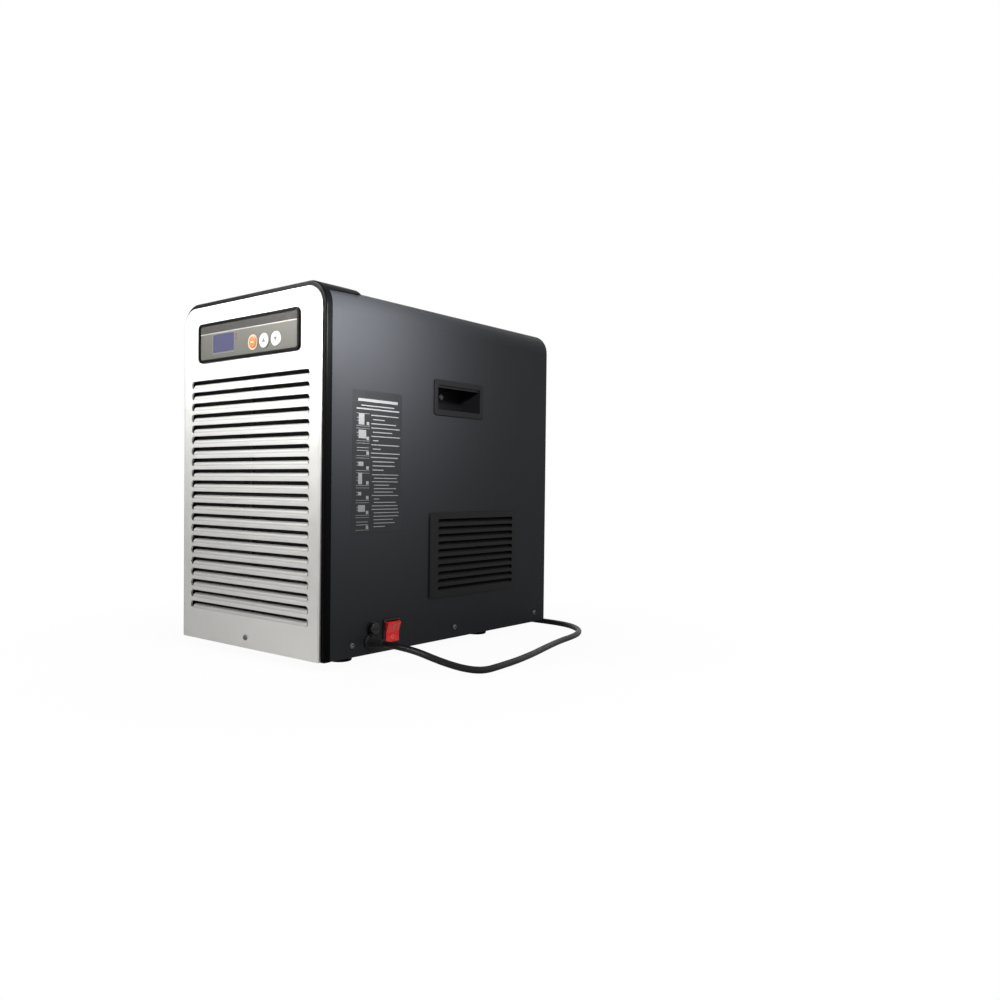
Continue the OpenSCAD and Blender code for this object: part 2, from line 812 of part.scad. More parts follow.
module control_fascia() {
  color("slategray") plate_y(fascia_t, fascia_d) difference() {
    translate([0, control_z]) rounded_rect(fascia_w, fascia_h, fascia_r - seam);
    translate([display_x, display_z])
      square([display_w + 2 * seam, display_h + 2 * seam], center = true);
    translate([set_x, button_z]) circle(r = set_ring_dia / 2 - button_flange + running);
    for (x = [up_x, down_x]) {
      translate([x, button_z]) circle(r = button_dia / 2 + seam);
    }
  }
}

display_lip = 1;

module display_window() {
  color("midnightblue") {
    plate_y(fascia_t, fascia_d + seam) translate([display_x, display_z])
      square([display_w, display_h], center = true);
    plate_y(fascia_back_t, control_flange_t) translate([display_x, display_z])
      square([display_w + 2 * display_lip, display_h + 2 * display_lip], center = true);
  }
}

// Turned cap with a soft front edge, a retaining flange behind the fascia and a stem
module button_cap(dia) {
  r = dia / 2;
  cap_l = button_flange_front_t - (fascia_t - button_proud);
  rotate([-90, 0, 0]) {
    rotate_extrude() difference() {
      can_outline(r, cap_l + button_edge, button_edge);
      translate([0, cap_l]) square([r + cut, button_edge + cut]);
    }
    translate([0, 0, cap_l]) rod_z(r + button_flange, button_flange_t);
    translate([0, 0, cap_l + button_flange_t]) rod_z(button_stem_r, button_stem_l);
  }
}

ring_inner_r = set_button_dia / 2 + seam;
ring_proud = 0.5;

module set_button() {
  color("darkorange") at(set_x, fascia_t - button_proud, button_z) button_cap(set_button_dia);
}

module set_button_ring() {
  color("moccasin") at(set_x, fascia_t - ring_proud, button_z) rotate([-90, 0, 0]) difference() {
    union() {
      rod_z(set_ring_dia / 2, ring_proud);
      rod_z(set_ring_dia / 2 - button_flange, ring_proud + fascia_d);
    }
    translate([0, 0, -cut]) rod_z(ring_inner_r, ring_proud + fascia_d + 2 * cut);
  }
}

module up_button() {
  color("white") at(up_x, fascia_t - button_proud, button_z) button_cap(button_dia);
}

module down_button() {
  color("white") at(down_x, fascia_t - button_proud, button_z) button_cap(button_dia);
}

module_front_t = fascia_back_t + control_flange_t + seam;

module control_board() {
  color("darkgreen") {
    plate_y(board_t, board_thick) translate([0, control_z]) square([board_w, board_h], center = true);
    plate_y(module_front_t, board_t - module_front_t) translate([display_x, display_z])
      square([display_w, display_h], center = true);
    for (x = [set_x, up_x, down_x]) {
      plate_y(tact_front_t, tact_d) translate([x, button_z]) square(tact_size, center = true);
    }
  }
}

// Handle recesses

handle_edge_r = 4;
handle_body_l = handle_l - 2 * flange_lap - 2 * seam;
handle_body_h = handle_h - 2 * flange_lap - 2 * seam;
handle_bottom_x = side_x - handle_d;

module handle_cup(side) {
  color("black") on_side(side) difference() {
    union() {
      plate_x(side_x, handle_wall) translate([handle_t, handle_z])
        rounded_rect(handle_l, handle_h, handle_edge_r);
      plate_x(handle_bottom_x - handle_wall, handle_d + handle_wall)
        translate([handle_t, handle_z])
        rounded_rect(handle_body_l, handle_body_h, handle_wall);
    }
    plate_x(handle_bottom_x, handle_d + handle_wall + cut) translate([handle_t, handle_z])
      rounded_rect(handle_open_l, handle_open_h, handle_wall);
  }
}

module grip_lip() {
  // The lip that the fingers hook behind, along the recess's upper edge
  plate_x(side_x - handle_wall, handle_wall)
    translate([handle_t - handle_open_l / 2, handle_z + handle_open_h / 2 - grip_lip_h])
    square([handle_open_l, grip_lip_h]);
}

module handle_cup_left() {
  handle_cup(-1);
  color("black") on_side(-1) grip_lip();
}

module handle_cup_right() {
  handle_cup(1);
  color("black") on_side(1) grip_lip();
}

// Side grilles

grille_face_x = side_x + grille_proud;
grille_slot_end = 4;
grille_slot_l = grille_l - 26;
grille_slot_mid_t = grille_front_t + rib_w + (grille_l - rib_w + grille_slot_end) / 2;
grille_first_z = grille_mid_z - (grille_n - 1) / 2 * grille_pitch;
grille_body_l = grille_l - 2 * flange_lap - 2 * seam;
grille_body_h = grille_h - 2 * flange_lap - 2 * seam;
rib_proud = 1;

module side_grille(side) {
  color("black") on_side(side) {
    difference() {
      union() {
        plate_x(side_x, grille_proud) translate([grille_mid_t, grille_mid_z])
          rounded_rect(grille_l, grille_h, handle_edge_r);
        plate_x(grille_face_x - grille_t - sheet_t, grille_t + sheet_t)
          translate([grille_mid_t, grille_mid_z])
          rounded_rect(grille_body_l, grille_body_h, handle_wall);
        plate_x(side_x, grille_proud + rib_proud)
          translate([grille_front_t + rib_w / 2 + grille_proud, grille_mid_z])
          rounded_rect(rib_w, grille_h - 2 * flange_lap, rib_w / 2 - running);
      }
      for (i = [0:grille_n - 1]) {
        plate_x(inner_x - grille_t - cut, grille_t + 2 * sheet_t + 2 * cut)
          translate([grille_slot_mid_t, grille_first_z + i * grille_pitch])
          stadium(grille_slot_l, grille_slot_h);
      }
    }
    for (i = [0:grille_n - 1]) {
      translate([0, front_y + grille_slot_mid_t, base_z + grille_first_z + i * grille_pitch - grille_slot_h / 2])
        rotate([0, 0, 90]) translate([0, -grille_face_x, 0])
        louvre_blade(0, grille_blade_d, grille_slot_h - grille_gap, grille_blade_t, grille_slot_l);
    }
  }
}

module side_grille_left() {
  side_grille(-1);
}

module side_grille_right() {
  side_grille(1);
}

// Rocker switch: a frame with a well, and a rocker with a shallow V face on a cross pin

switch_frame_t = 2;
switch_wall = 2;
switch_edge_r = 2.5;
well_l = rocker_l + 2 * seam;
well_h = rocker_h + 2.4;
pivot_in = 3;
pivot_x = side_x + switch_frame_t - pivot_in;
trunnion_r = 1.6;
trunnion_l = 1.5;
rocker_back = 7;
rocker_back_half = 6;
rocker_valley = 4.2;

module switch_frame() {
  color("black") difference() {
    union() {
      plate_x(side_x, switch_frame_t) translate([switch_t, switch_z])
        rounded_rect(switch_l, switch_h, switch_edge_r);
      plate_x(side_x - switch_d, switch_d) translate([switch_t, switch_z])
        rounded_rect(switch_l - flange_lap - 2 * seam, switch_h - flange_lap - 2 * seam,
          handle_wall);
    }
    plate_x(side_x - switch_d + switch_wall, switch_d + switch_frame_t)
      translate([switch_t, switch_z]) square([well_l, well_h], center = true);
    at(pivot_x, switch_t - rocker_l / 2 - trunnion_l - running, switch_z)
      rod_y(trunnion_r + running, rocker_l + 2 * trunnion_l + 2 * running);
  }
}

module rocker_outline() {
  half = rocker_h / 2;
  tip = rocker_valley + half * tan(rocker_tilt);
  polygon([
    [rocker_valley, 0], [tip, half], [0, half], [-rocker_back, rocker_back_half],
    [-rocker_back, -rocker_back_half], [0, -half], [tip, -half]
  ]);
}

module switch_rocker() {
  color("red") at(pivot_x, switch_t, switch_z) {
    rotate([0, rocker_tilt, 0]) rotate([90, 0, 0]) translate([0, 0, -rocker_l / 2])
      linear_extrude(height = rocker_l) rocker_outline();
    translate([0, -rocker_l / 2 - trunnion_l, 0]) rod_y(trunnion_r, rocker_l + 2 * trunnion_l);
  }
}

// Fuse holder, cap and the fuse inside

fuse_collar_r = 8.2;
fuse_collar_t = 1.6;
fuse_wall = 1.4;
fuse_bore_r = fuse_hole_r - seam - fuse_wall;
fuse_r = 2.6;
fuse_l = 20;
cap_stem_r = fuse_bore_r - running;
cap_stem_l = 9;
cap_slot = 1.6;
cap_gap = 0.3;
cap_socket_l = 4;

module fuse_holder() {
  color("black") at(0, fuse_t, fuse_z) difference() {
    union() {
      translate([side_x, 0, 0]) rod_x(fuse_collar_r, fuse_collar_t);
      translate([side_x - fuse_body_l, 0, 0]) rod_x(fuse_hole_r - seam, fuse_body_l);
    }
    translate([side_x - fuse_body_l + fuse_wall, 0, 0]) rod_x(fuse_bore_r, fuse_body_l + fuse_collar_t);
  }
}

module fuse_cap() {
  head_x = side_x + fuse_collar_t + cap_gap;
  head_l = fuse_cap_proud - fuse_collar_t - cap_gap;
  color("black") at(0, fuse_t, fuse_z) difference() {
    union() {
      translate([head_x, 0, 0]) rotate([0, 90, 0]) rotate_extrude() difference() {
        can_outline(fuse_cap_dia / 2, head_l, cut);
        square([running, running]);
      }
      translate([head_x - cap_stem_l, 0, 0]) rod_x(cap_stem_r, cap_stem_l + cut / 2);
    }
    translate([head_x + head_l - cap_slot, -fuse_cap_dia, -cap_slot / 2])
      cube([2 * cap_slot, 2 * fuse_cap_dia, cap_slot]);
    translate([head_x - cap_stem_l - cut, 0, 0]) rod_x(fuse_r + running, cap_socket_l + cut);
  }
}

module fuse_link() {
  head_x = side_x + fuse_collar_t + cap_gap;
  color("lightgray") at(head_x - cap_stem_l + cap_socket_l - fuse_l, fuse_t, fuse_z) rod_x(fuse_r, fuse_l);
}

// Cord gland with its tapered strain relief

gland_collar_t = 3;
gland_inner_l = 10;
relief_tip_r = cord_dia / 2 + 1.2;
gland_r = gland_dia / 2;
cord_r = cord_dia / 2;
relief_end_x = side_x + relief_l;

module cord_gland() {
  color("black") at(side_x, gland_t, gland_z) rotate([0, 90, 0]) {
    rotate_extrude() polygon([
      [0, -gland_inner_l], [gland_hole_r - seam, -gland_inner_l], [gland_hole_r - seam, 0],
      [gland_r, 0], [gland_r, gland_collar_t], [gland_hole_r, gland_collar_t],
      [relief_tip_r, relief_l], [0, relief_l]
    ]);
  }
}

// Mains cord: out of the gland, down to the floor, back along the side and round to the coil

floor_z = cord_dia / 2;
exit_y = front_y + gland_t;
exit_z = base_z + gland_z;
coil_x = 8;
coil_y = 292;
coil_r = 52;
coil_start_y = coil_y - coil_r;
cord_route = [
  [175, -145, 26.5], [189, -145, 26.4], [203, -145, 25.8], [217, -145, 24.8], [231, -145, 23],
  [244, -143, 20], [256, -138, 16.2], [267, -130, 12], [275, -119, 8.2], [280, -106, 5.4],
  [282, -92, 4], [282, -74, 4], [280, -54, 4], [277, -30, 4], [272, -4, 4], [266, 22, 4],
  [259, 48, 4], [252, 74, 4], [246, 98, 4], [241, 122, 4], [237, 146, 4], [232, 168, 4],
  [224, 188, 4], [212, 206, 4], [196, 221, 4], [177, 232, 4], [155, 238, 4], [132, 240, 4],
  [108, 240, 4], [84, 240, 4], [60, 240, 4], [38, 240, 4]
];
cord_sides = 8;
coil_sides = 6;
coil_rings = 24;
coil_turns = 4;
coil_step = 8.6;
coil_lead = 10;
coil_tail = 36;

// Smooth curve through three neighbouring points and the one after them
function curve_point(p, i, u) =
  let (a = p[max(i - 1, 0)], b = p[i], c = p[i + 1], d = p[min(i + 2, len(p) - 1)])
  0.5 * (2 * b + (c - a) * u + (2 * a - 5 * b + 4 * c - d) * u * u
    + (3 * b - a - 3 * c + d) * u * u * u);
function unit(v) = v / norm(v);
function direction(p, i) = unit(p[min(i + 1, len(p) - 1)] - p[max(i - 1, 0)]);
function across(d) = unit(cross(d, [0, 0, 1]));
function ring(p, i, r, sides, turn) =
  let (d = direction(p, i), a = across(d), b = cross(d, a))
  [for (k = [0:sides - 1])
    p[i] + r * (cos(turn + k * 360 / sides) * a + sin(turn + k * 360 / sides) * b)];

// Closed tube of flat-sided rings along a list of points
module swept_tube(p, r, sides) {
  rings = [for (i = [0:len(p) - 1]) each ring(p, i, r, sides, 180 / sides)];
  n = len(p);
  walls = [for (i = [0:n - 2], k = [0:sides - 1])
    let (a = i * sides + k, b = i * sides + (k + 1) % sides)
    each [[a, b, b + sides], [a, b + sides, a + sides]]];
  first = [for (k = [1:sides - 2]) [0, k + 1, k]];
  last = [for (k = [1:sides - 2]) [(n - 1) * sides, (n - 1) * sides + k, (n - 1) * sides + k + 1]];
  polyhedron(points = rings, faces = concat(walls, first, last), convexity = 6);
}

cord_points = concat(
  [[relief_end_x, exit_y, exit_z]],
  [for (i = [0:len(cord_route) - 2], u = [0, 0.5]) curve_point(cord_route, i, u)],
  [cord_route[len(cord_route) - 1], [coil_x + coil_lead, coil_start_y, floor_z]]
);

// The coil spirals in on the floor, climbs in half a turn and spirals out again on top
coil_half = coil_turns / 2;
function coil_radius(w) = coil_r - coil_step * (coil_half - abs(w - coil_half));
function coil_climb(w) = min(max(w - coil_half + 0.25, 0), 0.5) / 0.5;
function coil_point(w) =
  [coil_x + coil_radius(w) * cos(-90 - 360 * w), coil_y + coil_radius(w) * sin(-90 - 360 * w),
   floor_z + coil_step * coil_climb(w)];
coil_loop = [for (i = [0:coil_turns * coil_rings]) coil_point(i / coil_rings)];
coil_top_z = floor_z + coil_step;
coil_points = concat(
  [[coil_x + coil_lead, coil_start_y, floor_z]],
  coil_loop,
  [[coil_x - coil_lead, coil_start_y, coil_top_z], [coil_x - coil_tail, coil_start_y, coil_top_z]]
);
coil_gap = min([for (i = [0:len(coil_loop) - 1], j = [i + coil_rings / 2:1:len(coil_loop) - 1])
  norm(coil_loop[i] - coil_loop[j])]) - cord_dia;
echo(coil_least_gap = coil_gap);

module mains_cord() {
  color("black") swept_tube(cord_points, cord_r, cord_sides);
}

module cord_coil() {
  color("black") swept_tube(coil_points, cord_r, coil_sides);
}

// Mains plug lying beside the coil

plug_w = 26;
plug_h = 24.6;
plug_body_l = 22;
plug_grip_l = 20;
plug_neck_r = cord_r + 2;
plug_edge_r = 4;
plug_x = coil_x - coil_tail;
plug_front_x = plug_x - plug_grip_l - plug_body_l;
pin_l = 17;
pin_root = 8;
pin_w = 6.4;
pin_t = 1.5;
pin_spread = 12.7;
earth_r = 2.4;
earth_l = 20;
earth_drop = 6;
pin_rise = 5;

module pin_set(extra) {
  translate([plug_front_x + pin_root, coil_start_y, coil_top_z]) {
    for (s = [-1, 1]) {
      translate([-(pin_l + pin_root + extra) / 2, s * pin_spread / 2, pin_rise])
        cube([pin_l + pin_root + extra, pin_t + 2 * extra, pin_w + 2 * extra], center = true);
    }
    translate([-earth_l - pin_root - extra, 0, -earth_drop])
      rod_x(earth_r + extra, earth_l + pin_root + extra);
  }
}

module mains_plug() {
  color("black") difference() {
    union() {
      translate([plug_front_x, coil_start_y, coil_top_z]) rotate([90, 0, 90])
        linear_extrude(height = plug_body_l) rounded_rect(plug_w, plug_h, plug_edge_r);
      translate([plug_front_x + plug_body_l, coil_start_y, coil_top_z]) rotate([0, 90, 0])
        cylinder(h = plug_grip_l, r1 = plug_h / 2 - plug_edge_r, r2 = plug_neck_r);
    }
    pin_set(running);
  }
}

module plug_pins() {
  color("gold") pin_set(0);
}

// Hose connectors, their nuts and seals

union_top_z = frame_h + connector_h;
union_low_z = union_top_z - union_h;
seal_t = 1.5;
neck_low_z = cabinet_h + seal_t;
spigot_top_z = union_top_z - 6;
stem_low_z = cabinet_h - 24;
lock_nut_r = 25;
lock_nut_h = 8;
lock_nut_gap = 0.2;
bore_r = water_bore_dia / 2;
union_open_r = 14;
union_edge = 2;
grip_n = 12;
grip_r = 1.2;

module connector(t) {
  at(-connector_x, t, 0) difference() {
    union() {
      translate([0, 0, neck_low_z]) rod_z(neck_dia / 2, union_low_z - neck_low_z - seam);
      translate([0, 0, union_low_z - cut]) rod_z(spigot_dia / 2, spigot_top_z - union_low_z + cut);
      translate([0, 0, stem_low_z]) rod_z(stem_dia / 2, neck_low_z - stem_low_z + cut);
    }
    translate([0, 0, stem_low_z - cut]) rod_z(bore_r, spigot_top_z - stem_low_z + 2 * cut);
  }
}

module inlet_connector() {
  color("black") connector(connector_ts[0]);
}

module outlet_connector() {
  color("black") connector(connector_ts[1]);
}

module union_nut(t) {
  at(-connector_x, t, union_low_z) difference() {
    rotate_extrude() difference() {
      can_outline(union_dia / 2, union_h, union_edge);
      square([spigot_dia / 2 + running, spigot_top_z - union_low_z + seam]);
      square([union_open_r, union_h + cut]);
    }
    for (i = [0:grip_n - 1]) {
      rotate([0, 0, i * 360 / grip_n]) translate([union_dia / 2 + grip_r / 2, 0, -cut])
        rod_z(grip_r, union_h - 2 * union_edge + cut);
    }
  }
}

module inlet_union_nut() {
  color("black") union_nut(connector_ts[0]);
}

module outlet_union_nut() {
  color("black") union_nut(connector_ts[1]);
}

module connector_seals() {
  color("black") for (t = connector_ts) {
    at(-connector_x, t, cabinet_h) difference() {
      rod_z(neck_dia / 2, seal_t);
      translate([0, 0, -cut]) rod_z(stem_dia / 2 + seam, seal_t + 2 * cut);
    }
  }
}

module connector_lock_nuts() {
  color("black") for (t = connector_ts) {
    at(-connector_x, t, cabinet_h - sheet_t - lock_nut_gap - lock_nut_h) difference() {
      cylinder(h = lock_nut_h, r = lock_nut_r, $fn = 6);
      translate([0, 0, -cut]) rod_z(stem_dia / 2 + running, lock_nut_h + 2 * cut);
    }
  }
}

// Heat exchanger: a lying vessel with two ports on top, and the coil inside it

vessel_r = vessel_dia / 2;
port_top_z = vessel_z + vessel_r + 10;
port_r = 16;
exchanger_sides = 6;
exchanger_r = exchanger_coil_dia / 2;
coil_rest_w = 8;
coil_reach = exchanger_r + exchanger_tube_dia / 2 * cos(180 / exchanger_sides);
pipe_r = bore_r + 2.5;
cap_edge = 6;

module heat_exchanger() {
  color("dimgray") difference() {
    union() {
      at(-connector_x, vessel_t, vessel_z) rotate([-90, 0, 0]) rotate_extrude()
        can_outline(vessel_r, vessel_l, cap_edge);
      for (t = connector_ts) {
        at(-connector_x, t, vessel_z) rod_z(port_r, port_top_z - vessel_z);
      }
    }
    at(-connector_x, vessel_t + vessel_wall, vessel_z) rotate([-90, 0, 0]) rotate_extrude()
      can_outline(vessel_r - vessel_wall, vessel_l - 2 * vessel_wall, vessel_wall);
    for (t = connector_ts) {
      at(-connector_x, t, vessel_z) rod_z(bore_r, port_top_z - vessel_z + cut);
    }
  }
  // Rail inside, which the coil rests on
  color("dimgray") plate_y(vessel_t + vessel_wall / 2, vessel_l - vessel_wall)
    translate([-connector_x - coil_rest_w / 2, vessel_z - vessel_r + vessel_wall / 2])
    square([coil_rest_w, vessel_r - vessel_wall / 2 - coil_reach - seam]);
}

module water_pipes() {
  color("black") for (t = connector_ts) {
    at(-connector_x, t, port_top_z) difference() {
      rod_z(pipe_r, stem_low_z - port_top_z);
      translate([0, 0, -cut]) rod_z(bore_r, stem_low_z - port_top_z + 2 * cut);
    }
  }
}

exchanger_rings = 24;
exchanger_coil_l = vessel_l - 2 * vessel_wall - 2 * exchanger_tube_dia - 2 * seam;
exchanger_pitch = exchanger_coil_l / exchanger_turns;
exchanger_t = vessel_t + vessel_wall + exchanger_tube_dia + seam;
coil_end_gap = exchanger_pitch - exchanger_tube_dia;
echo(exchanger_coil_least_gap = coil_end_gap);
exchanger_points = [for (i = [0:exchanger_turns * exchanger_rings])
  let (w = i / exchanger_rings)
  [exchanger_r * cos(360 * w), exchanger_r * sin(360 * w), w * exchanger_pitch]];

module exchanger_coil() {
  color("lightsteelblue") at(-connector_x, exchanger_t, vessel_z) rotate([-90, 0, 0])
    swept_tube(exchanger_points, exchanger_tube_dia / 2, exchanger_sides);
}

saddle_w = vessel_dia - 16;
saddle_h = vessel_z - 22;
saddle_t = 2;
saddle_foot = 16;
saddle_shares = [0.12, 0.86];

module vessel_saddles() {
  color("gray") for (share = saddle_shares) {
    plate_y(vessel_t + share * vessel_l, saddle_t) translate([-connector_x, 0]) difference() {
      translate([-saddle_w / 2, tray_t]) square([saddle_w, saddle_h - tray_t]);
      translate([0, vessel_z]) circle(r = vessel_r + seam);
    }
    plate_z(tray_t, saddle_t)
      translate([-connector_x - saddle_w / 2, vessel_t + share * vessel_l])
      square([saddle_w, saddle_foot]);
  }
}

probe_hex_r = 7;
probe_hex_l = 8;
probe_r = 3;
probe_l = 22;
probe_drop = 22;

module temperature_probe() {
  color("silver") at(-connector_x, vessel_t + vessel_l, vessel_z - probe_drop) rotate([-90, 0, 0]) {
    cylinder(h = probe_hex_l, r = probe_hex_r, $fn = 6);
    rod_z(probe_r, probe_hex_l + probe_l);
  }
}

// Condenser: fins on a single serpentine tube between two end plates

condenser_x = -10;
tube_pitch = condenser_h / tube_n;
tube_r = tube_dia / 2;
tube_t = condenser_t + condenser_d / 2;
tube_zs = [for (i = [0:tube_n - 1]) condenser_low_z + tube_pitch / 2 + i * tube_pitch];
fin_pitch = condenser_w / fin_n;
end_plate_t = 1.5;
end_flange = 8;
tube_over = 8;
tube_left_x = condenser_x - condenser_w / 2 - end_plate_t - tube_over;
tube_right_x = condenser_x + condenser_w / 2 + end_plate_t + tube_over;

module tube_holes() {
  for (z = tube_zs) {
    translate([tube_t, z]) circle(r = tube_r + running);
  }
}

module condenser_fins() {
  color("lightgray") for (i = [0:fin_n - 1]) {
    plate_x(condenser_x - condenser_w / 2 + (i + 0.5) * fin_pitch - fin_t / 2, fin_t) difference() {
      translate([condenser_t, condenser_low_z]) square([condenser_d, condenser_h]);
      tube_holes();
    }
  }
}

module condenser_frame() {
  color("gray") for (s = [-1, 1]) {
    x = condenser_x + s * (condenser_w / 2 + end_plate_t / 2) - end_plate_t / 2;
    plate_x(x, end_plate_t) difference() {
      translate([condenser_t, tray_t]) square([condenser_d, condenser_low_z + condenser_h - tray_t]);
      tube_holes();
    }
    plate_z(tray_t, end_plate_t)
      translate([s < 0 ? x - end_flange + end_plate_t : x, condenser_t])
      square([end_flange, condenser_d]);
  }
}

// Half-turn bend between two neighbouring rows
module return_bend(x, z, side) {
  at(x, tube_t, z) on_side(side) rotate([90, 0, 0]) rotate([0, 0, -90])
    rotate_extrude(angle = 180) translate([tube_pitch / 2, 0]) circle(r = tube_r);
}

module condenser_tube() {
  color("peru") {
    for (z = tube_zs) {
      at(tube_left_x, tube_t, z) rod_x(tube_r, tube_right_x - tube_left_x);
    }
    for (i = [0:tube_n - 2]) {
      z = (tube_zs[i] + tube_zs[i + 1]) / 2;
      if (i % 2 == 0) return_bend(tube_left_x, z, -1);
      else return_bend(tube_right_x, z, 1);
    }
  }
}

// Fan: shroud behind the condenser, rotor on its shaft, motor on a four-armed bracket

fan_x = condenser_x;
fan_z = condenser_low_z + condenser_h / 2;
shroud_t = 1.5;
shroud_skirt_d = 6;
shroud_front_t = condenser_t + condenser_d + seam;
shroud_plate_t = shroud_front_t + shroud_skirt_d;
shroud_gap = 3;
shroud_ring_d = 14;
rotor_t = shroud_plate_t + shroud_t + 4;
motor_t = rotor_t + fan_d + 4;
shaft_r = shaft_dia / 2;
shaft_in_motor = 24;
hub_wall = 3;

module fan_shroud() {
  ring_r = fan_dia / 2 + shroud_gap;
  color("dimgray") {
    plate_y(shroud_plate_t, shroud_t) difference() {
      translate([fan_x, fan_z]) square([condenser_w, condenser_h], center = true);
      translate([fan_x, fan_z]) circle(r = ring_r);
    }
    plate_y(shroud_front_t, shroud_skirt_d + cut) translate([fan_x, fan_z]) difference() {
      square([condenser_w, condenser_h], center = true);
      square([condenser_w - 2 * shroud_t, condenser_h - 2 * shroud_t], center = true);
    }
    at(fan_x, shroud_plate_t, fan_z) difference() {
      rod_y(ring_r + shroud_t, shroud_ring_d);
      translate([0, -cut, 0]) rod_y(ring_r, shroud_ring_d + 2 * cut);
    }
  }
}

// A blade is a grid from root to tip: its pitch eases off and its chord grows with the radius
blade_rows = 6;
blade_cols = 7;
blade_sheet = 1.4;
blade_root_pitch = 38;
blade_tip_pitch = 24;
blade_chord_share = 0.42;
blade_camber_share = 0.08;
blade_root_r = hub_dia / 2 - 2;
blade_tip_r = fan_dia / 2;
function blade_spot(i, j, face) =
  let (u = i / blade_rows, v = j / blade_cols - 0.5, r = blade_root_r + u * (blade_tip_r - blade_root_r),
     chord = fan_dia * blade_chord_share * (0.7 + 0.3 * u),
     pitch = blade_root_pitch + u * (blade_tip_pitch - blade_root_pitch),
     bow = chord * blade_camber_share * (1 - 4 * v * v),
     along = v * chord * cos(pitch) - bow * sin(pitch),
     up = v * chord * sin(pitch) * 0.62 + bow * cos(pitch) + face * blade_sheet / 2,
     turn = along / r * 180 / PI)
  [r * cos(turn), r * sin(turn), up];

module fan_blade() {
  rows = blade_rows + 1;
  cols = blade_cols + 1;
  count = rows * cols;
  spots = [for (face = [1, -1], i = [0:blade_rows], j = [0:blade_cols]) blade_spot(i, j, face)];
  top = [for (i = [0:blade_rows - 1], j = [0:blade_cols - 1])
    let (a = i * cols + j)
    each [[a, a + 1, a + cols + 1], [a, a + cols + 1, a + cols]]];
  under = [for (f = top) [f[0] + count, f[2] + count, f[1] + count]];
  root = [for (j = [0:blade_cols - 1]) each [[j, j + count, j + 1 + count], [j, j + 1 + count, j + 1]]];
  tip = [for (j = [0:blade_cols - 1])
    let (a = blade_rows * cols + j)
    each [[a, a + 1, a + 1 + count], [a, a + 1 + count, a + count]]];
  lead = [for (i = [0:blade_rows - 1])
    let (a = i * cols)
    each [[a, a + cols, a + cols + count], [a, a + cols + count, a + count]]];
  trail = [for (i = [0:blade_rows - 1])
    let (a = i * cols + blade_cols)
    each [[a, a + cols + count, a + cols], [a, a + count, a + cols + count]]];
  polyhedron(points = spots, faces = concat(top, under, root, tip, lead, trail), convexity = 4);
}

module fan_rotor() {
  color("black") at(fan_x, rotor_t, fan_z) rotate([-90, 0, 0]) {
    difference() {
      rod_z(hub_dia / 2, fan_d);
      translate([0, 0, hub_wall]) difference() {
        rod_z(hub_dia / 2 - hub_wall, fan_d);
        rod_z(shaft_r + hub_wall, fan_d);
      }
      translate([0, 0, -cut]) rod_z(shaft_r + running, fan_d + 2 * cut);
    }
    for (i = [0:fan_blade_n - 1]) {
      rotate([0, 0, i * 360 / fan_blade_n]) translate([0, 0, fan_d / 2]) fan_blade();
    }
  }
}

module fan_shaft() {
  color("silver") at(fan_x, rotor_t, fan_z) rod_y(shaft_r, motor_t - rotor_t + shaft_in_motor);
}

module fan_motor() {
  color("gray") at(fan_x, motor_t, fan_z) rotate([-90, 0, 0]) difference() {
    union() {
      rotate_extrude() can_outline(motor_dia / 2, motor_l, cap_edge);
      rod_z(shaft_r + hub_wall, motor_l / 2);
    }
    translate([0, 0, -cut]) rod_z(shaft_r + running, shaft_in_motor + cut + seam);
  }
}

arm_w = 12;
arm_t = 2;
shaft_gap = 1;

module fan_bracket() {
  arm_r = fan_dia / 2 + shroud_gap + shroud_t + arm_t;
  color("gray") at(fan_x, 0, fan_z) difference() {
    for (a = [45, 135, 225, 315]) {
      rotate([0, a, 0]) {
        translate([0, motor_t - arm_t - seam, -arm_w / 2])
          cube([arm_r + arm_t, arm_t, arm_w]);
        translate([arm_r, shroud_plate_t + shroud_t, -arm_w / 2])
          cube([arm_t, motor_t - shroud_plate_t - shroud_t - seam, arm_w]);
      }
    }
    translate([0, rotor_t, 0]) rod_y(shaft_r + shaft_gap, motor_t - rotor_t);
  }
}

// Compressor on rubber grommets

shell_low_z = 15;
shell_edge = 26;
flange_r = compressor_r + 1.5;
flange_t = 5;
foot_bar_w = 26;
foot_bar_t = 3;
foot_bar_z = 14;
foot_bar_l = 2 * compressor_foot + foot_bar_w;
grommet_neck_r = 7;
grommet_r = 12;
grommet_cap_r = 10;
grommet_cap_h = 4;
stub_r = 5;
stub_top_z = shell_low_z + compressor_h + 14;
discharge_x = compressor_x + 34;
discharge_t = compressor_t - 24;
suction_x = compressor_x - 24;
suction_t = compressor_t + 26;

module compressor() {
  color("black") difference() {
    union() {
      at(compressor_x, compressor_t, shell_low_z) {
        rotate_extrude() can_outline(compressor_r, compressor_h, shell_edge);
        translate([0, 0, compressor_h / 2]) rod_z(flange_r, flange_t);
      }
      for (s = [-1, 1]) {
        plate_z(foot_bar_z, foot_bar_t)
          translate([compressor_x, compressor_t + s * compressor_foot])
          rounded_rect(foot_bar_l, foot_bar_w, foot_bar_w / 2 - cut);
      }
      plate_z(foot_bar_z, foot_bar_t) translate([compressor_x, compressor_t])
        square([foot_bar_w, 2 * compressor_foot], center = true);
      at(discharge_x, discharge_t, shell_low_z + compressor_h - shell_edge)
        rod_z(stub_r, stub_top_z - shell_low_z - compressor_h + shell_edge);
      at(suction_x, suction_t, shell_low_z + compressor_h - shell_edge)
        rod_z(stub_r, stub_top_z - shell_low_z - compressor_h + shell_edge);
    }
    for (p = compressor_feet) {
      at(p[0], p[1], foot_bar_z - cut) rod_z(grommet_neck_r + running, foot_bar_t + 2 * cut);
    }
  }
}

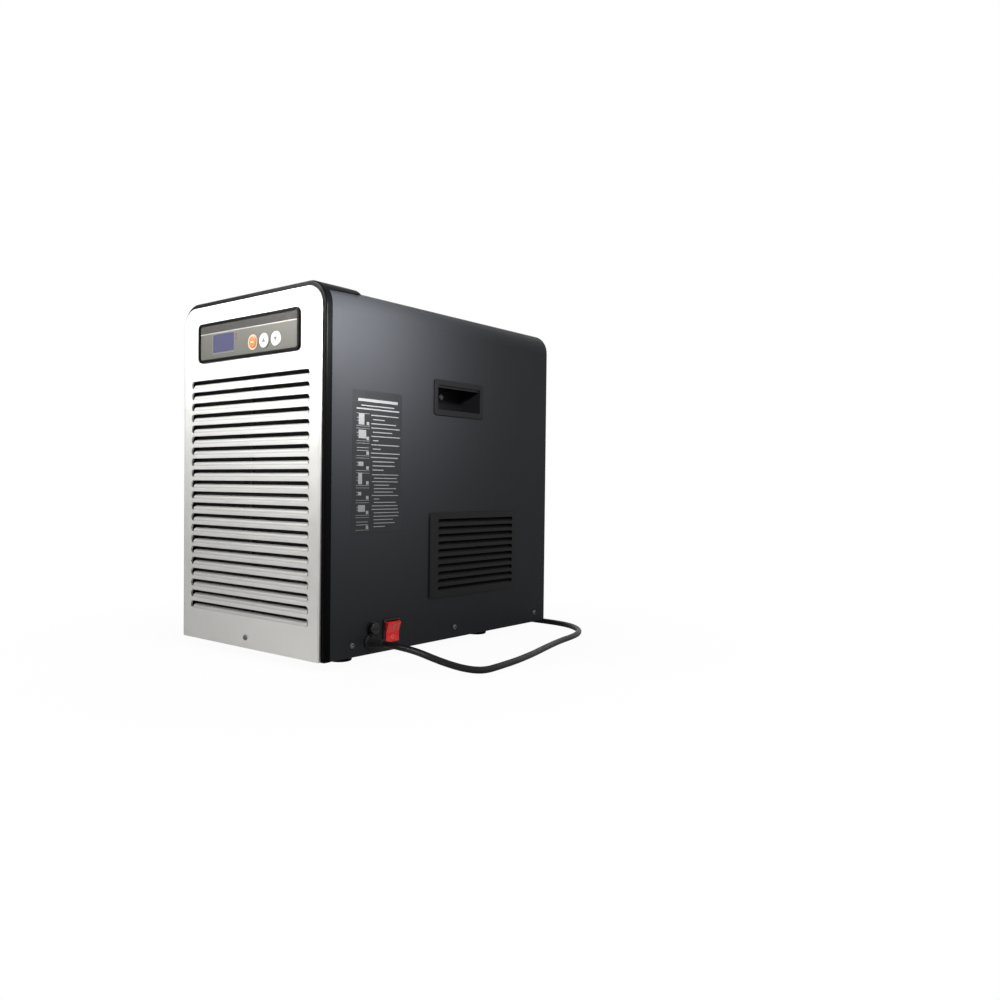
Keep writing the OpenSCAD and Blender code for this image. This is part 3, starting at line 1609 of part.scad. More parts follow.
module compressor_grommets() {
  color("black") for (p = compressor_feet) {
    at(p[0], p[1], tray_t) difference() {
      union() {
        rod_z(grommet_r, foot_bar_z - tray_t - running);
        rod_z(grommet_neck_r, foot_bar_z + foot_bar_t - tray_t + cut);
        translate([0, 0, foot_bar_z + foot_bar_t - tray_t + running])
          rod_z(grommet_cap_r, grommet_cap_h);
      }
      translate([0, 0, -cut]) rod_z(bolt_r + running, foot_bar_z + foot_bar_t + grommet_cap_h + cut);
    }
  }
}

bolt_head_r = 6;
bolt_head_h = 4;

module compressor_bolts() {
  head_z = foot_bar_z + foot_bar_t + running + grommet_cap_h;
  color("silver") for (p = compressor_feet) {
    at(p[0], p[1], head_z) cylinder(h = bolt_head_h, r = bolt_head_r, $fn = 6);
    at(p[0], p[1], seam) rod_z(bolt_r, head_z - seam);
  }
}

terminal_w = 46;
terminal_h = 50;
terminal_d = 24;
terminal_z = 70;

module terminal_cover() {
  color("black") difference() {
    plate_y(compressor_t - compressor_r - terminal_d / 2, terminal_d)
      translate([compressor_x, terminal_z]) rounded_rect(terminal_w, terminal_h, cap_edge);
    at(compressor_x, compressor_t, 0) rod_z(compressor_r + seam, terminal_z + terminal_h);
  }
}

// Refrigerant pipes: straight runs joined by quarter-round bends

line_r = 4;
capillary_r = 1.6;
line_bend_r = 7;
capillary_bend = 10;
drier_r = 10;
drier_h = 84;
drier_x = tube_right_x + 2 * line_bend_r + 2.5;
drier_t = 134;
drier_z = 86;
top_tube_z = tube_zs[tube_n - 1];
low_tube_z = tube_zs[0];
line_drop = 87.5;
line_top_z = frame_h - line_drop;
line_front_t = condenser_t + condenser_d / 2;
side_line_x = drier_x;
suction_back_t = vessel_t + vessel_l + 24;
suction_top_z = stub_top_z + 28;
port_offset = 22;
capillary_top_z = fan_z + motor_dia / 2 + 18;
capillary_x = fan_x - motor_dia / 2 - 12;
capillary_z = vessel_z + 18;

// Point at a width, depth and height, as the pipes' paths use it
function spot(x, t, z) = [x, front_y + t, base_z + z];

function side_axis(d) = [d[1], d[2], d[0]];
function axis_of(v) = [sign(v[0]), sign(v[1]), sign(v[2])];
module turned(x, y, z, p) {
  multmatrix([
    [x[0], y[0], z[0], p[0]], [x[1], y[1], z[1], p[1]], [x[2], y[2], z[2], p[2]], [0, 0, 0, 1]
  ]) children();
}

// Path of straight runs along the axes, with a bend of the same radius at each corner
module pipe_run(path, r, bend) {
  n = len(path);
  for (i = [0:n - 2]) {
    d = axis_of(path[i + 1] - path[i]);
    from = path[i] + (i == 0 ? 0 : bend) * d;
    length = norm(path[i + 1] - path[i]) - (i == 0 ? 0 : bend) - (i == n - 2 ? 0 : bend);
    turned(side_axis(d), cross(d, side_axis(d)), d, from) rod_z(r, length);
  }
  for (i = [1:n - 2]) {
    a = axis_of(path[i] - path[i - 1]);
    b = axis_of(path[i + 1] - path[i]);
    turned(-b, a, cross(-b, a), path[i] - bend * a + bend * b)
      rotate_extrude(angle = 90) translate([bend, 0]) circle(r = r);
  }
}

module refrigerant_lines() {
  color("peru") {
    pipe_run([
      spot(discharge_x, discharge_t, stub_top_z), spot(discharge_x, discharge_t, line_top_z),
      spot(side_line_x, discharge_t, line_top_z), spot(side_line_x, line_front_t, line_top_z),
      spot(side_line_x, line_front_t, top_tube_z), spot(tube_right_x, line_front_t, top_tube_z)
    ], line_r - running, line_bend_r);
    pipe_run([
      spot(tube_right_x, line_front_t, low_tube_z), spot(drier_x, line_front_t, low_tube_z),
      spot(drier_x, drier_t, low_tube_z), spot(drier_x, drier_t, drier_z)
    ], line_r - running, line_bend_r);
    pipe_run([
      spot(drier_x, drier_t, drier_z + drier_h), spot(drier_x, drier_t, capillary_top_z),
      spot(capillary_x, drier_t, capillary_top_z), spot(capillary_x, drier_t, capillary_z),
      spot(capillary_x, vessel_t, capillary_z)
    ], capillary_r, capillary_bend);
    pipe_run([
      spot(suction_x, suction_t, stub_top_z), spot(suction_x, suction_t, suction_top_z),
      spot(suction_x, suction_back_t, suction_top_z),
      spot(port_offset - connector_x, suction_back_t, suction_top_z),
      spot(port_offset - connector_x, suction_back_t, vessel_z),
      spot(port_offset - connector_x, vessel_t + vessel_l, vessel_z)
    ], line_r, line_bend_r);
  }
}

module filter_drier() {
  color("chocolate") at(drier_x, drier_t, drier_z) rotate_extrude()
    can_outline(drier_r, drier_h, drier_r / 2);
}

capacitor_r = 17;
capacitor_h = 70;
capacitor_x = 31 - side_x;
capacitor_t = 128;

module capacitor() {
  color("lightgray") at(capacitor_x, capacitor_t, tray_t) {
    rotate_extrude() can_outline(capacitor_r, capacitor_h, fascia_d);
    for (s = [-1, 1]) {
      translate([s * capacitor_r / 2, 0, capacitor_h - cut]) rod_z(post_r, cap_edge);
    }
  }
}

// Feet and screws

foot_edge = 2;
foot_recess_r = 6;
foot_recess_h = 5;

module feet() {
  color("black") for (x = [-foot_x, foot_x], t = foot_ts) {
    at(x, t, -foot_h) difference() {
      rotate_extrude() can_outline(foot_dia / 2, foot_h, foot_edge);
      translate([0, 0, -cut]) rod_z(foot_recess_r, foot_recess_h + cut);
      translate([0, 0, -cut]) rod_z(foot_screw_r + seam, foot_h + 2 * cut);
    }
  }
}

module foot_screws() {
  color("silver") for (x = [-foot_x, foot_x], t = foot_ts) {
    at(x, t, foot_recess_h - foot_h) screw_z(foot_h - foot_recess_h + tray_t + screw_l / 2);
  }
}

module cabinet_screws() {
  color("silver") {
    for (side = [-1, 1], t = side_screw_ts) on_side(side) {
      at(side_x, t, side_screw_z) rotate([0, -90, 0]) screw_z(sheet_t + seam + tray_t + screw_l / 2);
    }
    for (s = [-1, 1], share = rear_screw_z_shares) {
      at(s * rear_w / 2 * rear_screw_x_share, rear_t + sheet_t, rear_h * share)
        rotate([90, 0, 0]) screw_z(sheet_t + screw_l / 2);
    }
  }
}

base_tray();
cabinet_cover();
side_panels();
rear_panel();
front_frame();
front_panel();
filter_frame();
dust_filter();
control_housing();
control_fascia();
display_window();
set_button();
set_button_ring();
up_button();
down_button();
control_board();
handle_cup_left();
handle_cup_right();
side_grille_left();
side_grille_right();
switch_frame();
switch_rocker();
fuse_holder();
fuse_cap();
fuse_link();
cord_gland();
mains_cord();
cord_coil();
mains_plug();
plug_pins();
inlet_connector();
outlet_connector();
inlet_union_nut();
outlet_union_nut();
connector_seals();
connector_lock_nuts();
water_pipes();
heat_exchanger();
exchanger_coil();
vessel_saddles();
temperature_probe();
condenser_fins();
condenser_tube();
condenser_frame();
fan_shroud();
fan_rotor();
fan_shaft();
fan_motor();
fan_bracket();
compressor();
compressor_grommets();
compressor_bolts();
terminal_cover();
refrigerant_lines();
filter_drier();
capacitor();
feet();
foot_screws();
cabinet_screws();
panel_screw();
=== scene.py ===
"""Looks of an aquarium chiller: finishes, cord, plug, screws, marks, camera and studio."""

import math

import bmesh
import bpy
import numpy as np
from mathutils import Matrix


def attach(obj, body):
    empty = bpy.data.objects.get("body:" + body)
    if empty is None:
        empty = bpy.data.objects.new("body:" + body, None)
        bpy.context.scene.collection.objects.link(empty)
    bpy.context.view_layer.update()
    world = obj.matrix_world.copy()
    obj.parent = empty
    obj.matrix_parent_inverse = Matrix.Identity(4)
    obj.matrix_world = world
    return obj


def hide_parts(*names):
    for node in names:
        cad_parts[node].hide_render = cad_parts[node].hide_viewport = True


bl_info = {
    "name": "Aquarium Chiller",
    "version": (1, 0, 0),
    "blender": (4, 5, 0),
    "location": "3D Viewport > Sidebar > Chiller",
    "description": "Finishes and fine pieces of an aquarium chiller",
    "category": "Object",
}

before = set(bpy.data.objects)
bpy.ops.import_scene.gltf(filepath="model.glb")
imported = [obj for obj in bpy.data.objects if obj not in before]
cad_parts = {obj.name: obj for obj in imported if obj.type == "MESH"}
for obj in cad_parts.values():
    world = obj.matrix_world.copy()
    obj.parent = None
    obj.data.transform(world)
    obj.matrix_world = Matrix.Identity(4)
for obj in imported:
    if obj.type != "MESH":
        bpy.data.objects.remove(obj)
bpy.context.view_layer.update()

# Where the cabinet stands, in metres: the front frame's face and the cabinet's underside
FRONT_Y = -0.215
BASE_Z = 0.011
MM = 0.001

# Directions: across the front, towards the rear, and up
ACROSS = (1, 0, 0)
BACKWARD = (0, 1, 0)
UP = (0, 0, 1)

# The mains cord's way from the strain relief to the coil, in metres
CORD_ROUTE = (
    (0.169, -0.145, 0.0265), (0.175, -0.145, 0.0265), (0.189, -0.145, 0.0264),
    (0.203, -0.145, 0.0258), (0.217, -0.145, 0.0248), (0.231, -0.145, 0.023),
    (0.244, -0.143, 0.020), (0.256, -0.138, 0.0162), (0.267, -0.130, 0.012),
    (0.275, -0.119, 0.0082), (0.280, -0.106, 0.0054), (0.282, -0.092, 0.004),
    (0.282, -0.074, 0.004), (0.280, -0.054, 0.004), (0.277, -0.030, 0.004),
    (0.272, -0.004, 0.004), (0.266, 0.022, 0.004), (0.259, 0.048, 0.004),
    (0.252, 0.074, 0.004), (0.246, 0.098, 0.004), (0.241, 0.122, 0.004),
    (0.237, 0.146, 0.004), (0.232, 0.168, 0.004), (0.224, 0.188, 0.004),
    (0.212, 0.206, 0.004), (0.196, 0.221, 0.004), (0.177, 0.232, 0.004),
    (0.155, 0.238, 0.004), (0.132, 0.240, 0.004), (0.108, 0.240, 0.004),
    (0.084, 0.240, 0.004), (0.060, 0.240, 0.004), (0.038, 0.240, 0.004),
)
# Height of the cord's middle line where it lies on the floor
CORD_REST = 0.004

# The coil behind the cabinet: its middle, outer radius, step between turns and between layers, the
# number of turns, of points in a turn and of turns in the climb, and the straight ends beside it
COIL_CENTRE = (0.008, 0.292)
COIL_RADIUS = 0.052
COIL_STEP = 0.0086
COIL_TURNS = 4
COIL_POINTS = 16
COIL_CLIMB = 0.5
COIL_LEAD = 0.010
COIL_TAIL = 0.036


def spot(x, t, z):
    """Metres of a point given in millimetres: width, depth behind the front face, height."""
    return np.array([x * MM, FRONT_Y + t * MM, BASE_Z + z * MM])


class ChillerSizes(bpy.types.PropertyGroup):
    """Sizes of the fine pieces"""

    cord_diameter: bpy.props.FloatProperty(
        name="Cord Diameter", description="Outer diameter of the mains cord", default=0.008,
        unit="LENGTH")
    relief_tip: bpy.props.FloatProperty(
        name="Relief Tip", description="Radius of the strain relief at its thin end", default=0.0052,
        unit="LENGTH")
    band_height: bpy.props.FloatProperty(
        name="Band Height", description="Height of the dark band along the fascia's top",
        default=0.0098, unit="LENGTH")
    line_height: bpy.props.FloatProperty(
        name="Line Height", description="Height of the pale line under the band", default=0.0012,
        unit="LENGTH")
    lip_rise: bpy.props.FloatProperty(
        name="Lip Rise", description="Height of a louvre's rolled front", default=0.0056,
        unit="LENGTH")
    lip_depth: bpy.props.FloatProperty(
        name="Lip Depth", description="How far a louvre's rolled front curves back",
        default=0.0072, unit="LENGTH")
    screw_head: bpy.props.FloatProperty(
        name="Screw Head", description="Diameter of the screws' heads", default=0.007,
        unit="LENGTH")
    label_width: bpy.props.FloatProperty(
        name="Label Width", description="Width of the plain label on the right side",
        default=0.0806, unit="LENGTH")
    label_height: bpy.props.FloatProperty(
        name="Label Height", description="Height of the plain label on the right side",
        default=0.168, unit="LENGTH")
    rocker_mark: bpy.props.FloatProperty(
        name="Rocker Mark", description="Height of the marks on the rocker", default=0.005,
        unit="LENGTH")


def colour_choice(name, description, default):
    """A colour that the user can change, written as linear red, green and blue."""
    return bpy.props.FloatVectorProperty(
        name=name, description=description, default=default, size=3, min=0.0, max=1.0,
        subtype="COLOR")


class ChillerColours(bpy.types.PropertyGroup):
    """Colours of the finishes"""

    cabinet: colour_choice("Cabinet", "Powder coat of the cover, the sides and the rear panel",
                           (0.022, 0.023, 0.026))
    silver: colour_choice("Silver", "Paint of the louvred panel", (0.66, 0.655, 0.635))
    moulding: colour_choice("Moulding", "Black plastic of the frame and the hood",
                            (0.0016, 0.0016, 0.0018))
    trim: colour_choice("Trim", "Black plastic of the handles and grilles", (0.007, 0.007, 0.008))
    fascia: colour_choice("Fascia", "Brushed plate of the control panel", (0.074, 0.073, 0.060))
    display: colour_choice("Display", "Tint of the display window", (0.030, 0.026, 0.110))
    amber: colour_choice("Amber", "Set button", (0.56, 0.20, 0.035))
    ring: colour_choice("Ring", "Ring around the set button", (0.66, 0.44, 0.29))
    white: colour_choice("White", "Up and down buttons", (0.80, 0.80, 0.78))
    rocker: colour_choice("Rocker", "Red of the rocker switch", (0.92, 0.022, 0.014))
    label: colour_choice("Label", "Plate of the plain side label", (0.0085, 0.009, 0.0105))
    rubber: colour_choice("Rubber", "Mains cord and feet", (0.008, 0.008, 0.0085))
    union: colour_choice("Union", "Glossy plastic of the hose connectors", (0.008, 0.008, 0.010))
    copper: colour_choice("Copper", "Refrigerant lines", (0.70, 0.32, 0.18))


# Surfaces worked out as arrays

# Points nearer than this are merged, and edges shorter than the other are dissolved, in metres
WELD_DISTANCE = 1e-6
SHORTEST_EDGE = 1e-7
# A corner is never sharper than this, so that its points stay apart
SHARPEST_CORNER = 1e-5


def grid_faces(rows, cols, wrap):
    """Quads of a grid of rows by cols points; with wrap the last column joins the first."""
    across = cols if wrap else cols - 1
    i, j = np.meshgrid(np.arange(rows - 1), np.arange(across), indexing="ij")
    k = (j + 1) % cols
    quads = np.stack([i * cols + j, i * cols + k, (i + 1) * cols + k, (i + 1) * cols + j], axis=-1)
    return quads.reshape(-1, 4)


def new_piece(name, points, faces, smooth=True, weld=False):
    """A mesh object at the origin from an array of points and a list of faces."""
    mesh = bpy.data.meshes.new(name)
    mesh.from_pydata(np.asarray(points, float).reshape(-1, 3).tolist(), [],
                     [list(f) for f in faces])
    if weld:
        shell = bmesh.new()
        shell.from_mesh(mesh)
        bmesh.ops.remove_doubles(shell, verts=shell.verts, dist=WELD_DISTANCE)
        bmesh.ops.dissolve_degenerate(shell, edges=shell.edges, dist=SHORTEST_EDGE)
        bmesh.ops.recalc_face_normals(shell, faces=shell.faces)
        shell.to_mesh(mesh)
        shell.free()
    mesh.polygons.foreach_set("use_smooth", np.full(len(mesh.polygons), smooth))
    mesh.update()
    piece = bpy.data.objects.new(name, mesh)
    bpy.context.scene.collection.objects.link(piece)
    return piece


# The bevel of softened edges: its steps, and the least angle of an edge that gets it
BEVEL_STEPS = 2
BEVEL_ANGLE = math.radians(40)


def soften(piece, width):
    """A bevel of the given width in metres along the piece's sharp edges."""
    bevel = piece.modifiers.new("soft edges", "BEVEL")
    bevel.width = width
    bevel.segments = BEVEL_STEPS
    bevel.limit_method = "ANGLE"
    bevel.angle_limit = BEVEL_ANGLE


def dress(piece, material, body):
    """Gives a new piece its finish and the body that carries it."""
    piece.data.materials.clear()
    piece.data.materials.append(material)
    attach(piece, body)
    return piece


def rounded_outline(width, height, radii, steps=8):
    """Outline about the middle: four quarter circles of the given radii, anticlockwise from the
    lower right corner, each point at corner + radius * (cos, sin) of an angle that runs evenly."""
    radii = np.maximum(np.asarray(radii, float), SHARPEST_CORNER)
    signs = np.array([[1, -1], [1, 1], [-1, 1], [-1, -1]])
    centres = signs * (np.array([width, height]) / 2 - radii[:, None])
    turn = np.linspace(0, math.pi / 2, steps)
    angles = np.array([-math.pi / 2, 0, math.pi / 2, math.pi])[:, None] + turn
    ring = np.stack([np.cos(angles), np.sin(angles)], axis=-1) * radii[:, None, None]
    return (centres[:, None] + ring).reshape(-1, 2)


def stacked(parts):
    """Points and faces of several surfaces as one: each surface's faces count on from the last."""
    points, faces, start = [], [], 0
    for part_points, part_faces in parts:
        part_points = np.asarray(part_points, float).reshape(-1, 3)
        points.append(part_points)
        faces += [[vertex + start for vertex in face] for face in part_faces]
        start += len(part_points)
    return np.concatenate(points), faces


def plates(outlines, origin, across, up, thickness):
    """Flat plates of one thickness: each outline point (a, b) goes to origin + a*across + b*up, and
    the plate rises from there along the cross product of across and up."""
    across, up = np.asarray(across, float), np.asarray(up, float)
    out = np.cross(across, up)
    parts = []
    for outline in outlines:
        base = np.asarray(origin) + outline[:, :1] * across + outline[:, 1:] * up
        count = len(outline)
        k = np.arange(count)
        walls = np.stack([k, (k + 1) % count, (k + 1) % count + count, k + count], axis=1)
        caps = [list(range(count, 2 * count)), list(range(count - 1, -1, -1))]
        parts.append((np.concatenate([base, base + out * thickness]), caps + walls.tolist()))
    return stacked(parts)


def shifted(outline, a, b):
    """The outline moved by a and b in its own plane."""
    return outline + np.array([a, b])


def lathe(profile, centre, axis, steps=48):
    """Surface of revolution about a line through the centre that runs along x, y or z: each pair
    (distance s along the axis, radius r) gives the ring centre + s*axis + r*(cos*side + sin*other)."""
    profile = np.asarray(profile, float)
    axis = np.asarray(axis, float)
    side = np.array([axis[2], axis[0], axis[1]])
    other = np.cross(axis, side)
    turn = np.arange(steps) * 2 * math.pi / steps
    ring = np.cos(turn)[:, None] * side + np.sin(turn)[:, None] * other
    points = (np.asarray(centre) + profile[:, :1, None] * axis
              + profile[:, 1:, None] * ring[None])
    return points, grid_faces(len(profile), steps, True)


def standing(place, *axes):
    """Matrix of an object that stands at a place, with the directions of its own x, y and z."""
    stand = Matrix.Identity(4)
    for i, axis in enumerate(axes):
        stand.col[i][:3] = axis.tolist()
    stand.col[3][:3] = place
    return stand


# Finishes

# The three noises of a finish: colour, roughness and grain
COLOUR_NOISE = {"Detail": 5.0, "Roughness": 0.55}
ROUGHNESS_NOISE = {"Detail": 3.0, "Roughness": 0.6}
GRAIN_NOISE = {"Detail": 4.0, "Roughness": 0.6}
# How much finer the roughness drifts than the colour, and the stretch of its noise that is used
ROUGHNESS_RATIO = 7
ROUGHNESS_SPAN = {"From_Min": 0.3, "From_Max": 0.7}
COAT_ROUGHNESS = 0.08
BEVEL_SAMPLES = 4


def shader(tree, kind, settings=None, **inputs):
    """A shader node with its settings and the values of its inputs, by their names."""
    made = tree.nodes.new("ShaderNode" + kind)
    for key, value in (settings or {}).items():
        setattr(made, key, value)
    for key, value in inputs.items():
        made.inputs[key.replace("_", " ")].default_value = value
    return made


def place_scaled(tree, stretch):
    """Object coordinates, multiplied along each axis."""
    spots = shader(tree, "TexCoord")
    mapping = shader(tree, "Mapping")
    mapping.inputs["Scale"].default_value = stretch
    tree.links.new(spots.outputs["Object"], mapping.inputs["Vector"])
    return mapping.outputs["Vector"]


def finish(name, colour, shade, mottle, grain, depth, rough, metallic=0.0, coat=0.0, edge=0.0,
           stretch=(1, 1, 1), specular=0.5, cells=False):
    """A finish whose colour drifts between itself and a shade of itself with a broad noise, whose
    roughness follows a middling noise, and whose grain is a fine noise or cells as a bump. With an
    edge radius in metres its edges look rounded."""
    material = bpy.data.materials.new(name)
    material.use_nodes = True
    tree = material.node_tree
    tree.nodes.clear()
    out = shader(tree, "OutputMaterial")
    body = shader(tree, "BsdfPrincipled")
    body.inputs["Metallic"].default_value = metallic
    body.inputs["Specular IOR Level"].default_value = specular
    body.inputs["Coat Weight"].default_value = coat
    body.inputs["Coat Roughness"].default_value = COAT_ROUGHNESS
    tree.links.new(body.outputs["BSDF"], out.inputs["Surface"])
    here = place_scaled(tree, stretch)
    broad = shader(tree, "TexNoise", Scale=mottle, **COLOUR_NOISE)
    tint = shader(tree, "Mix", {"data_type": "RGBA"})
    tint.inputs[6].default_value = [c * shade for c in colour[:3]] + [1.0]
    tint.inputs[7].default_value = list(colour[:3]) + [1.0]
    middling = shader(tree, "TexNoise", Scale=mottle * ROUGHNESS_RATIO, **ROUGHNESS_NOISE)
    roughness = shader(tree, "MapRange", To_Min=rough[0], To_Max=rough[1], **ROUGHNESS_SPAN)
    if cells:
        fine = shader(tree, "TexVoronoi", Scale=grain)
        height = fine.outputs["Distance"]
    else:
        fine = shader(tree, "TexNoise", Scale=grain, **GRAIN_NOISE)
        height = fine.outputs["Fac"]
    bump = shader(tree, "Bump", Strength=1.0, Distance=depth)
    for texture in (broad, middling, fine):
        tree.links.new(here, texture.inputs["Vector"])
    tree.links.new(broad.outputs["Fac"], tint.inputs[0])
    tree.links.new(tint.outputs[2], body.inputs["Base Color"])
    tree.links.new(middling.outputs["Fac"], roughness.inputs["Value"])
    tree.links.new(roughness.outputs["Result"], body.inputs["Roughness"])
    tree.links.new(height, bump.inputs["Height"])
    if edge:
        rounded = shader(tree, "Bevel", {"samples": BEVEL_SAMPLES}, Radius=edge)
        tree.links.new(rounded.outputs["Normal"], bump.inputs["Normal"])
    tree.links.new(bump.outputs["Normal"], body.inputs["Normal"])
    return material


def paint_nodes(material, *names):
    """Puts the finish on each slot of the CAD nodes."""
    for name in names:
        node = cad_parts[name]
        if not node.material_slots:
            node.data.materials.append(material)
        for place in node.material_slots:
            place.material = material


def lay_plates(name, outlines, origin, across, up, thickness, material, body):
    """Flat plates as one piece of their own, dressed with the finish."""
    points, faces = plates(outlines, origin, across, up, thickness)
    piece = new_piece(name, points, faces, smooth=False)
    return dress(piece, material, body)


def sizes():
    """The sizes that the user can change."""
    return bpy.context.scene.chiller_sizes


def colours():
    """The colours that the user can change."""
    return bpy.context.scene.chiller_colours


# Operators

# The photograph's camera: its turn in degrees, its dip and lean in radians, its place in metres,
# and the lens as a number of pixels of the picture's width
CAMERA_TURN = -38.38
CAMERA_DIP = 0.017
CAMERA_LEAN = 0.0113
CAMERA_PLACE = (0.8985, -0.8494, 0.2151)
LENS_PIXELS = 855.1
PICTURE_PIXELS = 1000.0
SENSOR_WIDTH = 36.0
FARTHEST = 100.0


class CHILLER_OT_camera(bpy.types.Operator):
    """Set the camera where the photograph was taken from"""

    bl_idname = "chiller.camera"
    bl_label = "Camera"

    def execute(self, context):
        turn = math.radians(CAMERA_TURN)
        right = np.array([math.cos(turn), -math.sin(turn), 0.0])
        level = np.array([math.sin(turn), math.cos(turn), 0.0])
        upright = np.array([0.0, 0.0, 1.0])
        ahead = math.cos(CAMERA_DIP) * level - math.sin(CAMERA_DIP) * upright
        above = math.sin(CAMERA_DIP) * level + math.cos(CAMERA_DIP) * upright
        across = math.cos(CAMERA_LEAN) * right + math.sin(CAMERA_LEAN) * above
        top = math.cos(CAMERA_LEAN) * above - math.sin(CAMERA_LEAN) * right
        lens = bpy.data.cameras.new("camera")
        lens.sensor_width = SENSOR_WIDTH
        lens.lens = SENSOR_WIDTH * LENS_PIXELS / PICTURE_PIXELS
        lens.clip_end = FARTHEST
        camera = bpy.data.objects.new("camera", lens)
        camera.matrix_world = standing(CAMERA_PLACE, across, top, -ahead)
        context.scene.collection.objects.link(camera)
        context.scene.camera = camera
        return {"FINISHED"}


def coil_points():
    """Centreline of the coil: a spiral that closes in by one step a turn on the floor, climbs one
    layer in half a turn at the middle of its length, and opens out again by one step a turn."""
    w = np.arange(COIL_TURNS * COIL_POINTS + 1) / COIL_POINTS
    half = COIL_TURNS / 2
    radius = COIL_RADIUS - COIL_STEP * (half - np.abs(w - half))
    climb = np.clip(w - half + COIL_CLIMB / 2, 0, COIL_CLIMB) / COIL_CLIMB
    angle = np.radians(-90 - 360 * w)
    return np.stack([COIL_CENTRE[0] + radius * np.cos(angle),
                     COIL_CENTRE[1] + radius * np.sin(angle),
                     CORD_REST + COIL_STEP * climb], axis=1)


# The plug from the cord to its face: distance, half width and half height of each station
PLUG_STATIONS = (
    (0.0, 0.0056, 0.0056), (0.0195, 0.0079, 0.0077), (0.0238, 0.0118, 0.0108),
    (0.0272, 0.0129, 0.0121), (0.0400, 0.0130, 0.0122), (0.0412, 0.0128, 0.0120),
    (0.0418, 0.0122, 0.0114), (0.0420, 0.0110, 0.0102),
)
# Its power n at a distance: 2 is an oval, and more is squarer
PLUG_POWERS = ((0.0, 2.0), (0.02, 2.2), (0.026, 3.6), (0.042, 3.8))
# Rows of points along its grip, shoulder, body and rim, and points around it
PLUG_ROWS = np.concatenate([np.linspace(0.0, 0.0205, 60), np.linspace(0.0208, 0.0238, 10),
                            np.linspace(0.024, 0.0412, 8), [0.0415, 0.0418, 0.042]])
PLUG_SIDES = 56
# The ribs of its grip: where they start and end, how far they stand out and their pitch
GRIP_START = 0.002
GRIP_END = 0.0192
GRIP_RELIEF = 0.00055
GRIP_PITCH = 0.00287

# The strain relief: its seat on the side, the collar's pairs of distance and radius, the cone's
# start, end and first radius, the number of rows along it, and its blunt tip
RELIEF_SEAT = spot(143, 70, 15.5)
RELIEF_COLLAR = ((-0.0095, 0.0045), (-0.0095, 0.0058), (-0.0002, 0.0058), (0.0, 0.0062),
                 (0.0, 0.0081), (0.0004, 0.0085), (0.0026, 0.0085), (0.0030, 0.0081),
                 (0.0031, 0.0066))
CONE_START = 0.0036
CONE_END = 0.0252
CONE_RADIUS = 0.0064
CONE_ROWS = 150
TIP_BLUNTING = 0.0003
TIP_START = 0.0257
TIP_RINGS = ((0.0260, 0.0044), (0.0260, 0.0036))
# Its round-bottomed slits: pitch, depth, the share of a wave that stays whole and the last one's end
SLIT_PITCH = 0.0031
SLIT_DEPTH = 0.0009
SLIT_LEVEL_SHARE = 0.35
SLIT_END = 0.0246


